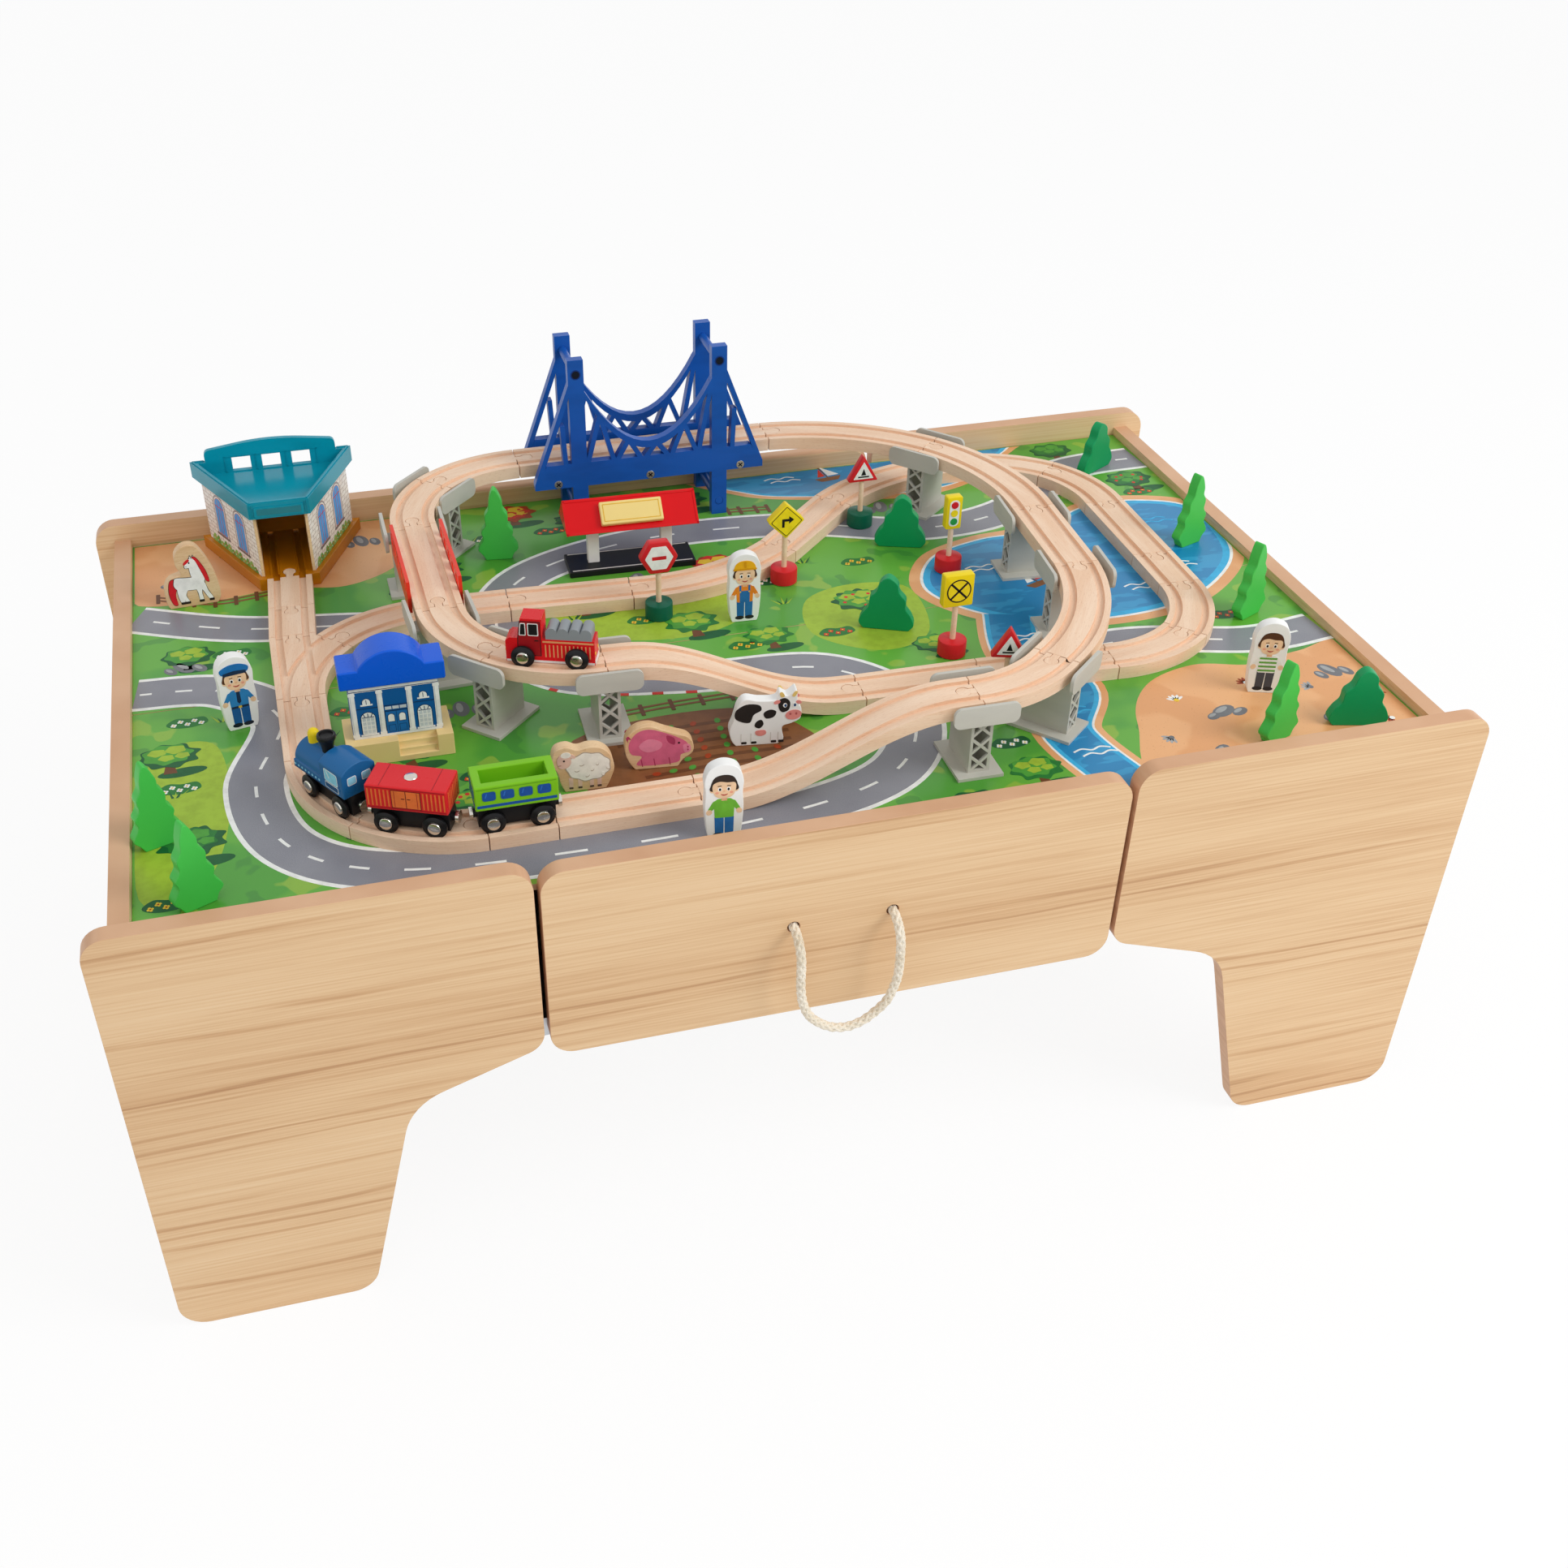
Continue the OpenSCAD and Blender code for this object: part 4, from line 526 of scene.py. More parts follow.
lift.inputs["To Min"].default_value, lift.inputs["To Max"].default_value = light["skyStrength"], 1.0
world.node_tree.links.new(lift.outputs[0], sky.inputs["Strength"])
sky.inputs["Color"].default_value = (1, 1, 1, 1)


def lamp(name, power, size, place):
    data = bpy.data.lights.new(name, "AREA")
    data.energy, data.size = power, size
    made = bpy.data.objects.new(name, data)
    bpy.context.scene.collection.objects.link(made)
    made.location = place
    made.rotation_euler = (Vector(light["aim"]) - Vector(place)).to_track_quat("-Z", "Y").to_euler()


lamp("keyLamp", light["keyPower"], light["keySize"], light["keyPlace"])
lamp("fillLamp", light["fillPower"], light["fillSize"], light["fillPlace"])

floorFinish = Finish("paleFloor", baseColor=light["floor"], roughness=0.9)
rays = floorFinish.node("LightPath", {}, {}, "Is Camera Ray")
glossy = floorFinish.node("LightPath", {}, {}, "Is Glossy Ray")
through = floorFinish.node("LightPath", {}, {}, "Is Transmission Ray")
glow = floorFinish.node("Emission", {}, {"Color": light["floor"], "Strength": 1.0})
plainFloor = Wire(floorFinish, floorFinish.shader.outputs[0])
share = (rays + glossy + through) * light["floorGlow"]
blendFloor = floorFinish.node("MixShader", {}, {0: share, 1: plainFloor, 2: glow})
floorFinish.tree.links.new(blendFloor.socket, floorFinish.tree.nodes["Material Output"].inputs["Surface"])
floorMesh = bmesh.new()
bmesh.ops.create_grid(floorMesh, x_segments=1, y_segments=1, size=light["floorHalf"])
floorData = bpy.data.meshes.new("floor")
floorMesh.to_mesh(floorData)
floorMesh.free()
floor = bpy.data.objects.new("floor", floorData)
floorData.materials.append(floorFinish.material)
bpy.context.scene.collection.objects.link(floor)
print("camera, light and floor set")


# Rope handle: eight strands braided round a core, and a tied knot behind each hole

rope = {"diameter": 8, "strand": 1.32, "ring": 2.36, "weave": 0.3, "lay": 30, "core": 2.45, "holeZ": 311,
        "front": -320, "halfGap": 40, "knot": 3.1,
        "knotReach": (2.05, 2.1, 2.05), "knotLoop": 1.7, "knotDepth": 1.05, "knotSteps": 96,
        "half": [(1, -15, 0), (1, -7.5, 0), (1, 2, 0), (1, 10, 2), (1, 17, 7), (1, 21, 15), (1, 22, 26),
                 (1, 22, 38), (0.98, 22, 50), (0.92, 21, 62), (0.8, 21, 74), (0.6, 20, 84), (0.32, 20, 92),
                 (0, 20, 95)]}


def ropePoint(row, side):
    x, out, drop = row
    return Vector((side * x * rope["halfGap"], rope["front"] - out, rope["holeZ"] - drop)) * mm


ropeRoute = [ropePoint(row, -1) for row in rope["half"]] + [ropePoint(row, 1) for row in rope["half"][-2::-1]]
ropeLine = curve(ropeRoute, 9, closed=False)
ropeLength = sum((b - a).length for a, b in zip(ropeLine, ropeLine[1:]))


def tubes(name, lines, radius, cyclic=False, resolution=2):
    data = bpy.data.curves.new(name, "CURVE")
    data.dimensions, data.bevel_depth, data.bevel_resolution = "3D", radius * mm, resolution
    data.use_fill_caps = True
    for line in lines:
        spline = data.splines.new("POLY")
        spline.points.add(len(line) - 1)
        spline.use_cyclic_u = cyclic
        for point, p in zip(spline.points, line):
            point.co = (*p, 1)
    holder = bpy.data.objects.new(name + ".line", data)
    mesh = bpy.data.meshes.new_from_object(holder)
    bpy.data.objects.remove(holder)
    mesh.name = name
    return mesh


def braid(line):
    normal, along, strands = Vector((0, 0, 1)), 0, [[] for _ in range(8)]
    for i, p in enumerate(line):
        way = (line[min(i + 1, len(line) - 1)] - line[max(i - 1, 0)]).normalized()
        normal = (normal - way * normal.dot(way)).normalized()
        side = way.cross(normal)
        along += (p - line[i - 1]).length if i else 0
        turnNow = 2 * math.pi * along / (rope["lay"] * mm)
        for k in range(8):
            hand = 1 if k < 4 else -1
            angle = hand * turnNow + k % 4 * math.pi / 2
            reach = (rope["ring"] + hand * rope["weave"] * math.cos(4 * turnNow)) * mm
            strands[k].append(p + (normal * math.cos(angle) + side * math.sin(angle)) * reach)
    return strands


def cotton():
    f = Finish("cottonRope", roughness=0.85, sheenWeight=0.25)
    yarn = f.cloud(f.where(), 1500, 3)
    grime = f.cloud(f.where(), 60, 2)
    f.feed("baseColor", f.mix(f.step(yarn * 0.6 + grime * 0.4, 0.35, 0.7), "f4ecdc", "d6c7ab"))
    f.bump(yarn, 0.0003, 0.7)
    return f


cottonFinish = cotton()
ropeMesh = tubes("ropeHandle", braid(ropeLine), rope["strand"])
coreMesh = tubes("ropeCore", [ropeLine], rope["core"])
ropeBm = bmesh.new()
ropeBm.from_mesh(ropeMesh)
ropeBm.from_mesh(coreMesh)
ropePiece = piece("ropeHandle", ropeBm, [cottonFinish], "drawer", "rope_handle", smooth=80)


def knotLine(side):  # an overhand knot, drawn in tight behind its hole
    low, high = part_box("handle_knots")
    centre = Vector((side * rope["halfGap"] * mm, (low.y + high.y) / 2, rope["holeZ"] * mm))
    out, loop, steps = [], rope["knotLoop"], rope["knotSteps"]
    for k in range(steps):
        t = 2 * math.pi * k / steps
        x, y = math.sin(t) + loop * math.sin(2 * t), -rope["knotDepth"] * math.sin(3 * t)
        z = math.cos(t) - loop * math.cos(2 * t)
        out.append(centre + Vector((x, y, z)) * Vector(rope["knotReach"]) * mm)
    return out


knotMesh = tubes("handleKnots", [knotLine(-1), knotLine(1)], rope["knot"], cyclic=True, resolution=3)
knotPiece = newObject("handleKnots", knotMesh, [cottonFinish], "drawer", ["handle_knots"], smooth=80)
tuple(ropeRoute[0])
print("rope handle braided,", round(ropeLength, 4), "m")


# Table: panels, rails, boards and drawer

tablePieces = {"panelRound": 4.2, "railRound": 2.5, "boardRound": 0.6, "drawerRound": 1.0, "cleatRound": 0.8,
               "steelRound": 0.3}
oakFront, oakSide = oak("oakFoilFront", "Y"), oak("oakFoilSide", "X")
rawWood = beech("rawPine", "ecd3a9", "ddb987", "b88a58", "Object")
laminate = plastic("paleLaminate", "efe6d6", 0.45, 0.93)
zinc = metal("zincSteel", "c9cccf", 0.3)


def broadFaceEdge(edge):
    return all(abs(f.normal.y) > 0.9 or abs(f.normal.y) < 0.1 for f in edge.link_faces)


for node in ("front_left_leg_panel", "front_right_leg_panel", "back_left_leg_panel", "back_right_leg_panel",
             "back_centre_panel", "drawer_front"):
    softCopy(node, oakFront, tablePieces["panelRound"], 4, 60, broadFaceEdge)
for node in ("left_side_rail", "right_side_rail"):
    softCopy(node, oakSide, tablePieces["railRound"], 3, 60)
for node in ("board_cleats", "drawer_bearers"):
    softCopy(node, rawWood, tablePieces["cleatRound"])
for node in ("drawer_left_side", "drawer_right_side", "drawer_back", "drawer_bottom"):
    softCopy(node, laminate, tablePieces["drawerRound"])
for node in ("drawer_runners", "cam_fittings"):
    softCopy(node, zinc, tablePieces["steelRound"])
print("table dressed")


# Printed play board: grass in the foil itself, the map as thin printed layers

def grass():
    f = Finish("printedGrass", coatWeight=0.15, coatRoughness=0.12, specularIorLevel=0.3)
    wide = f.cloud(f.where((1, 1, 0)), 7, 3)
    patch = f.cloud(f.where((1, 1, 0)), 22, 2)
    blades = f.cloud(f.where((420, 1300, 0), 12), 1.0, 2)
    base = f.mix(f.step(wide, 0.44, 0.5), "4f9e36", "62ac39")
    base = f.mix(f.step(patch, 0.6, 0.63) * 0.75, base, "93b83f")
    base = f.mix(f.step(patch, 0.38, 0.36) * 0.6, base, "3d8635")
    base = f.mix(f.step(blades, 0.66, 0.74) * 0.35, base, "35752e")
    top = f.axis(f.node("TexCoord", {}, {}, "Normal"), "Z")
    f.feed("baseColor", f.mix(f.step(top, 0.5, 0.8), "c9a77c", base))
    f.feed("roughness", 0.3 + wide * 0.12)
    f.bump(blades, 0.00002, 0.2)
    return f


grassFinish = grass()
for node in ("play_board_front", "play_board_back"):
    softCopy(node, grassFinish, tablePieces["boardRound"])

worldMap = {
    "roads": [  # centre lines in board millimetres, each with its width
        ([(-510, 30), (-440, 18), (-395, -40), (-420, -130), (-400, -215), (-330, -262), (-200, -275),
          (-40, -270), (70, -235), (110, -150), (60, -75), (-60, -60), (-160, -30), (-200, 60), (-160, 150),
          (-40, 196), (110, 190), (230, 150), (330, 165), (420, 235), (510, 245)], 50),
        ([(105, -160), (200, -120), (330, -100), (440, -125), (510, -120)], 46),
        ([(-196, 50), (-300, 95), (-420, 120), (-510, 160)], 46)],
    "kerbs": (116, 152),
    "margin": 2,
    "lake": [(196, 30), (240, -30), (320, -56), (405, -50), (470, -12), (508, 40), (512, 120), (470, 150),
             (410, 152), (340, 116), (280, 112), (222, 88)],
    "bay": [(66, 320), (92, 266), (160, 242), (240, 230), (300, 236), (346, 268), (372, 320)],
    "stream": [(250, -30), (232, -100), (252, -160), (222, -220), (240, -304)],
    "sand": [(520, -315), (524, -156), (470, -154), (420, -164), (370, -152), (316, -172), (282, -226),
             (276, -315)],
    "yard": [(-520, 315), (-520, 198), (-450, 178), (-380, 186), (-322, 176), (-272, 204), (-254, 252),
             (-262, 315)],
    "meadows": [[(-150, 96), (-70, 112), (0, 92), (34, 44), (-30, 6), (-120, 26)],
                [(-500, -80), (-450, -60), (-440, -150), (-460, -240), (-508, -250)],
                [(130, 60), (180, 40), (170, -40), (120, -60), (70, -20), (80, 40)]],
    "field": [(-170, -130), (-20, -120), (20, -215), (-150, -225)],
    "trees": [(-470, -190, 26), (-300, -110, 24), (-466, 84, 22), (-120, 90, 24), (20, 130, 24),
              (130, 30, 27), (-330, 30, 22), (-30, 30, 25), (168, -60, 20), (480, 200, 24), (176, -262, 22),
              (-236, 186, 24), (20, 270, 26), (-150, 282, 24), (-484, -70, 24), (430, 284, 22),
              (-350, -190, 22), (-260, -190, 20), (-90, 255, 22), (30, -10, 22), (-410, 262, 22),
              (-250, 150, 20)],
    "stones": [(-350, 235), (-470, 222), (360, -225), (452, -250), (330, -280), (-60, 120), (210, 204),
               (-250, -60), (-300, 262), (480, -190), (-470, 66)],
    "flowers": [(-478, -118), (-250, -160), (-70, 44), (60, 84), (-340, -40), (-20, 246), (-430, 78),
                (-120, 236), (6, -22), (170, -224), (476, 170), (-490, -262), (-246, 262), (112, -286),
                (150, 100), (-180, 235), (90, -20), (-270, 150), (-470, -24), (440, -80)],
    "tufts": [(-360, -80), (-480, -130), (-90, 70), (60, 40), (100, 110), (-200, 230), (10, 246), (-280, -20),
              (150, -10), (-440, -30), (180, -180), (140, -250), (-330, -150), (-130, 60), (-60, 280),
              (440, 200), (-300, 60), (-250, 20)],
    "boats": [(300, 20, 20, "red"), (420, 70, -12, "yellow"), (180, 282, 8, "white"), (300, 276, -14, "red")],
    "waves": [(260, 60), (350, 70), (390, -10), (460, 110), (440, 20), (330, -20), (130, 290), (240, 262),
              (250, -70), (236, -190), (230, -250)],
    "fences": [[(-150, -112), (-80, -106), (-10, -104)], [(-490, 186), (-440, 166), (-390, 172)],
               [(60, 226), (100, 222)]],
    "shells": [(330, -200), (400, -190), (450, -210), (380, -270), (490, -270), (300, -250), (420, -290),
               (500, -230)]}
groundInks = {"white": "f6f7f4", "soil": "8a5a37", "furrow": "6f4528", "leaf": "2a7a35", "leafMid": "4fa03c",
              "leafLight": "a3c23c", "stone": "77797e", "stoneLight": "a9abac", "red": "d8382c",
              "yellow": "f0c93a", "rust": "a8431f", "leafDark": "1b5f33", "foam": "3fb4e6"}
groundHeights = {"meadow": 0.03, "shade": 0.05, "area": 0.06, "low": 0.105, "edge": 0.15, "road": 0.18,
                 "mid": 0.21, "dash": 0.24, "top": 0.26}
motifs = {  # shapes in millimetres about each place, those of a tree in shares of its radius
    "shores": [(14, "sand", 0), (3, "white", 0.02), (0, "foam", 0.04), (-7, "water", 0.06)],
    "banks": [(60, "sand", -0.018), (48, "white", 0.03), (44, "foam", 0.05), (36, "water", 0.075)],
    "furrows": {"count": 7, "top": -136, "pitch": 12, "left": -140, "middle": -70, "right": 6, "width": 4.5,
                "plant": (3.6, 2.6)},
    "road": {"edge": 4, "dash": 2.6, "kerb": 4, "kerbRise": 0.03, "apart": 0.006},
    "trunk": [(-0.2, -1.05), (0.24, -1.05), (0.1, -0.3), (-0.1, -0.3)],
    "leaves": [("leafDark", "leaf", "leafMid"), ("leaf", "leafMid", "leafLight"),
               ("leafDark", "leafMid", "leafLight"), ("rust", "red", "yellow")],
    "sprays": [(-0.4, 0.26, 0.3), (0.2, 0.34, 0.34), (0.42, -0.04, 0.24), (-0.1, -0.1, 0.26)],
    "fruit": {"count": 7, "radius": 1.9, "turn": 2.4},
    "stones": [(0, 0, 12, 7), (13, -4, 8, 5), (-11, -5, 7, 4.5)],
    "bed": [(-16, 0), (-8, 8), (3, 6), (14, 7), (17, -2), (5, -7), (-9, -6)],
    "flower": {"count": 5, "first": -10, "pitch": 5.5, "petal": 1.2, "reach": 1.5, "eye": 0.9, "turn": 0.4},
    "blades": {"leans": (-7, -3, 1, 5, 8), "pitch": 1.6, "left": -5, "right": -2.6, "tip": -4, "tall": 11},
    "hull": [(-15, 0), (15, 0), (9, -8), (-10, -8)],
    "mast": [(-0.7, 0), (0.7, 0), (0.7, 26), (-0.7, 26)],
    "sail": [(1.6, 3), (14, 3), (1.6, 25)],
    "jib": [(-1.6, 3), (-10, 3), (-1.6, 20)],
    "wave": {"left": -16, "pitch": 8, "shift": 5, "apart": 7, "tall": 3, "width": 1.8},
    "fence": {"rails": (5, 11), "rail": 2.4, "post": (3.6, 17), "postMiddle": 7.5},
    "shell": {"count": 5, "turn": 30, "next": 25, "reach": 4.2, "rib": (4.4, 1.5), "eye": 2.4}}


def water():
    f = Finish("printedWater", coatWeight=0.15, coatRoughness=0.12, specularIorLevel=0.3)
    swell = f.cloud(f.where((26, 70, 0)), 1.0, 2)
    f.feed("baseColor", f.mix(f.step(swell, 0.52, 0.56), "1583bb", "2a97cb"))
    f.feed("roughness", 0.28 + swell * 0.08)
    f.bump(swell, 0.00002, 0.2)
    return f


def sand():
    f = Finish("printedSand", coatWeight=0.12, coatRoughness=0.15, specularIorLevel=0.3)
    drift = f.cloud(f.where((1, 1, 0)), 14, 2)
    grains = f.cloud(f.where((1, 1, 0)), 620, 1)
    base = f.mix(f.step(drift, 0.48, 0.54), "e2a36d", "eab07b")
    f.feed("baseColor", f.mix(f.step(grains, 0.68, 0.76) * 0.6, base, "b97745"))
    f.feed("roughness", 0.32 + drift * 0.1)
    f.bump(grains, 0.00002, 0.2)
    return f


def tar():
    f = Finish("printedRoad", coatWeight=0.12, coatRoughness=0.14, specularIorLevel=0.3)
    drift = f.cloud(f.where((1, 1, 0)), 30, 2)
    grit = f.cloud(f.where((1, 1, 0)), 1500, 1)
    f.feed("baseColor", f.mix(f.step(grit * 0.7 + drift * 0.3, 0.35, 0.7), "8f9098", "7d7e88"))
    f.feed("roughness", 0.3 + drift * 0.1)
    f.bump(grit, 0.00002, 0.2)
    return f


def held(line):  # keeps printing on the board
    x, y = table["boardLength"] / 2 - worldMap["margin"], table["boardDepth"] / 2 - worldMap["margin"]
    return [Vector((min(max(p.x, -x), x), min(max(p.y, -y), y))) for p in line]


def path(points, steps=10):
    return held(curve(points, steps, False))


def layArea(s, colour, points, height):
    s.shape(colour, held(curve(points, 8)), height=height)


def layGround(s):
    level = groundHeights["area"]
    for points in worldMap["meadows"]:
        layArea(s, "leafLight", points, groundHeights["meadow"])
    for name, lift in (("sand", -0.012), ("yard", -0.006)):
        layArea(s, "sand", worldMap[name], level + lift)
    for name, lift in (("lake", 0), ("bay", 0.006)):
        for by, colour, rise in motifs["shores"]:
            layArea(s, colour, grown(worldMap[name], by), level + lift + rise)
    for width, colour, rise in motifs["banks"]:
        s.ribbon(colour, path(worldMap["stream"]), width, height=level + rise)
    layArea(s, "soil", worldMap["field"], level)


def ploughField(s):
    f = motifs["furrows"]
    for k in range(f["count"]):
        y = f["top"] - k * f["pitch"]
        row = curve([(f["left"] + k * 3, y), (f["middle"], y + 3), (f["right"] - k * 1.5, y + 1)], 8, False)
        s.ribbon("furrow", row, f["width"], height=groundHeights["low"])
        for n, p in enumerate(row[2:-1:2]):
            colour = "leafMid" if n % 3 else "rust"
            s.disc(colour, p.x, p.y + 2, *f["plant"], 20 * n, height=groundHeights["mid"])


def layRoads(s):
    h, r = groundHeights, motifs["road"]
    lines = [(path(points, 12), width) for points, width in worldMap["roads"]]
    for n, (line, width) in enumerate(lines):
        s.ribbon("white", line, width, height=h["edge"] - r["apart"] * n)
        s.ribbon("tar", line, width - 2 * r["edge"], height=h["road"] + r["apart"] * n)
        for k in range(1, len(line) - 3, 5):
            s.ribbon("white", line[k:k + 3], r["dash"], height=h["dash"])
    line, width = lines[0]
    for k in range(*worldMap["kerbs"], 3):
        s.ribbon("red", line[k:k + 2], r["kerb"], (width - r["kerb"]) / 2, h["road"] + r["kerbRise"])


def crown(n, x, y, r, share, dx=0, dy=0, lobes=8):  # a wavy ring of leaves
    ring = []
    for k in range(2 * lobes):
        a = math.pi * k / lobes + n
        reach = share * r * (1.06 if k % 2 else 0.86 + 0.05 * math.sin(3 * k + n))
        ring.append((x + dx * r + reach * math.cos(a), y + dy * r + 0.72 * reach * math.sin(a)))
    return ring


def drawTree(s, n, x, y, r):
    h, f = groundHeights, motifs["fruit"]
    s.disc("leafDark", x + r * 0.4, y - r * 1.05, r * 0.8, r * 0.26, 6, 20, h["shade"])
    s.shape("furrow", [(x + r * dx, y + r * dy) for dx, dy in motifs["trunk"]], height=h["low"])
    dark, mid, pale = motifs["leaves"][3 if n % 9 == 4 else n % 3]
    s.blob(dark, crown(n, x, y, r, 1), h["mid"])
    s.blob(mid, crown(n, x, y, r, 0.82, -0.06, 0.1, 7), h["mid"] + 0.04)
    for dx, dy, share in motifs["sprays"]:
        s.blob(pale, crown(n, x, y, r, share, dx, dy, 5), h["top"])
    for k in range(f["count"] if n % 4 == 1 else 0):
        fx, fy = x + r * 0.6 * math.cos(k * f["turn"]), y + r * 0.4 * math.sin(k * f["turn"])
        s.disc("red", fx, fy, f["radius"], steps=8, height=h["top"] + 0.05)


def drawStones(s, n, x, y):
    h, turn = groundHeights, n * 13
    for k, (dx, dy, rx, ry) in enumerate(motifs["stones"]):
        s.disc("stone", x + dx, y + dy, rx, ry, turn, 14, h["low"] + k * 0.02)
        s.disc("stoneLight", x + dx - 1, y + dy + ry * 0.3, rx * 0.6, ry * 0.4, turn, 14, h["mid"] + k * 0.02)


def drawFlowers(s, n, x, y):
    h, f = groundHeights, motifs["flower"]
    petals, eye = (("white", "yellow"), ("red", "yellow"), ("yellow", "rust"))[n % 3]
    s.blob("leafDark" if n % 2 else "leaf", [(x + dx, y + dy) for dx, dy in motifs["bed"]], h["low"])
    for k in range(f["count"]):
        fx, fy = x + f["first"] + f["pitch"] * k, y + (2.5 if k % 2 else -2)
        for quarter in range(4):
            a = quarter * math.pi / 2 + f["turn"]
            px, py = fx + f["reach"] * math.cos(a), fy + f["reach"] * math.sin(a)
            s.disc(petals, px, py, f["petal"], steps=7, height=h["mid"])
        s.disc(eye, fx, fy, f["eye"], steps=7, height=h["mid"] + 0.05)


def drawTuft(s, n, x, y):
    b = motifs["blades"]
    for k, lean in enumerate(b["leans"]):
        foot, tall = x + k * b["pitch"], b["tall"] + 3 * math.sin(2.2 * k + n)
        blade = [(foot + b["left"], y), (foot + b["right"], y), (foot + b["tip"] + lean, y + tall)]
        s.shape("leafLight" if (k + n) % 2 else "leafDark", blade, height=groundHeights["low"] + 0.01 * k)


def drawBoat(s, x, y, turn, colour):
    spin = Matrix.Rotation(math.radians(turn), 2)
    other = "red" if colour == "white" else "white"
    for part, finish, corner, level in (("hull", "soil", 1.5, "mid"), ("mast", "furrow", 0, "mid"),
                                        ("sail", colour, 0, "top"), ("jib", other, 0, "top")):
        points = [tuple(Vector((x, y)) + spin @ Vector(p)) for p in motifs[part]]
        s.shape(finish, points, corner, groundHeights[level])


def drawWaves(s, n, x, y):
    w = motifs["wave"]
    for k in range(2):
        left, foot = x + w["left"] + w["shift"] * k, y - w["apart"] * k
        crest = [(left + w["pitch"] * j, foot + w["tall"] * (j % 2)) for j in range(5)]
        colour = "foam" if n % 2 else "white"
        s.ribbon(colour, curve(crest, 5, False), w["width"], height=groundHeights["mid"])


def drawFence(s, points):
    f, top, line = motifs["fence"], groundHeights["top"], path(points, 9)
    for rise in f["rails"]:
        s.ribbon("soil", [p + Vector((0, rise)) for p in line], f["rail"], height=top)
    for p in line[::3]:
        s.box("furrow", p.x, p.y + f["postMiddle"], *f["post"], 0.8, height=top + 0.04)


def drawShell(s, n, x, y):
    h, f = groundHeights, motifs["shell"]
    ribs, eye = (("white", "yellow"), ("rust", "white"), ("stoneLight", "stone"))[n % 3]
    for k in range(f["count"]):
        turn = f["turn"] * (k + 1) + f["next"] * n
        spot = Vector((x, y)) + Matrix.Rotation(math.radians(turn), 2) @ Vector((f["reach"], 0))
        s.disc(ribs, *spot, *f["rib"], turn, height=h["low"])
    s.disc(eye, x, y, f["eye"], height=h["mid"])


def drawMap():
    s = Sheet(10, water=water(), sand=sand(), tar=tar(), **groundInks).on(at(0, 0, table["boardTop"]))
    layGround(s)
    ploughField(s)
    layRoads(s)
    for name, draw in (("trees", drawTree), ("stones", drawStones), ("flowers", drawFlowers),
                       ("tufts", drawTuft), ("waves", drawWaves), ("shells", drawShell)):
        for n, row in enumerate(worldMap[name]):
            draw(s, n, *row)
    for row in worldMap["boats"]:
        drawBoat(s, *row)
    for points in worldMap["fences"]:
        drawFence(s, points)
    s.done("boardPrint", "table", "printed_board")


drawMap()
print("board printed")


# Railway: beech runs, grey piers, red guards

railway = {"edge": 0.7, "pierEdge": 0.45, "guardEdge": 0.5}
beechTrack = beech("beechTrack")
for node in ("ground_tracks", "switch_track", "ramp_tracks", "raised_tracks"):
    softCopy(node, beechTrack, railway["edge"], 2, 40, change=grainUv)
greyPlastic = plastic("greyPlastic", "c6c4ba", 0.36, 0.9)
redPlastic = plastic("redPlastic", "ee3a26", 0.3, 0.86)
softCopy("track_piers", greyPlastic, railway["pierEdge"])
softCopy("guard_rails", redPlastic, railway["guardEdge"])
print("railway laid")


# Suspension bridge

bridge = {"edge": 0.7, "screwEdge": 0.3, "towers": (-69, 69), "rodDrop": 14, "screws": (-90.4, 0, 90.4)}
bluePlastic = plastic("bluePlastic", "1859b4", 0.3, 0.8)
for node in ("bridge_front_frame", "bridge_rear_frame", "bridge_cross_rods"):
    softCopy(node, bluePlastic, bridge["edge"])
softCopy("bridge_screws", zinc, bridge["screwEdge"])


def drawBridgeTrim():  # painted shade: a near-black hole in a darker blue rim at each rod end in the tops of the towers, and a dark painted cross recess in each screw
    # dark is painted shade: the near-black middle of each rod hole and the cross recess in each screw
    s = Sheet(24, rim="123a86", dark="0b1526")
    low, high = (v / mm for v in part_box("bridge_screws"))
    middle, half = at((low.x + high.x) / 2, (low.y + high.y) / 2, 0), (high.y - low.y) / 2
    screwZ, rodZ = (low.z + high.z) / 2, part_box("bridge_front_frame")[1].z / mm - bridge["rodDrop"]
    for face in bothSides(middle, half):
        s.on(face)
        for x in bridge["towers"]:
            s.disc("rim", x, rodZ, 4.8, height=0.2)
            s.disc("dark", x, rodZ, 3.7, height=0.3)
        for x in bridge["screws"]:
            for turn in (40, 130):
                s.box("dark", x, screwZ, 5, 1.1, 0, turn, 0.2)
    s.done("bridgeTrim", "table", "blue_plastic")


drawBridgeTrim()
print("bridge dressed")


# Engine shed: stone print on its walls, clear coloured roof and floor

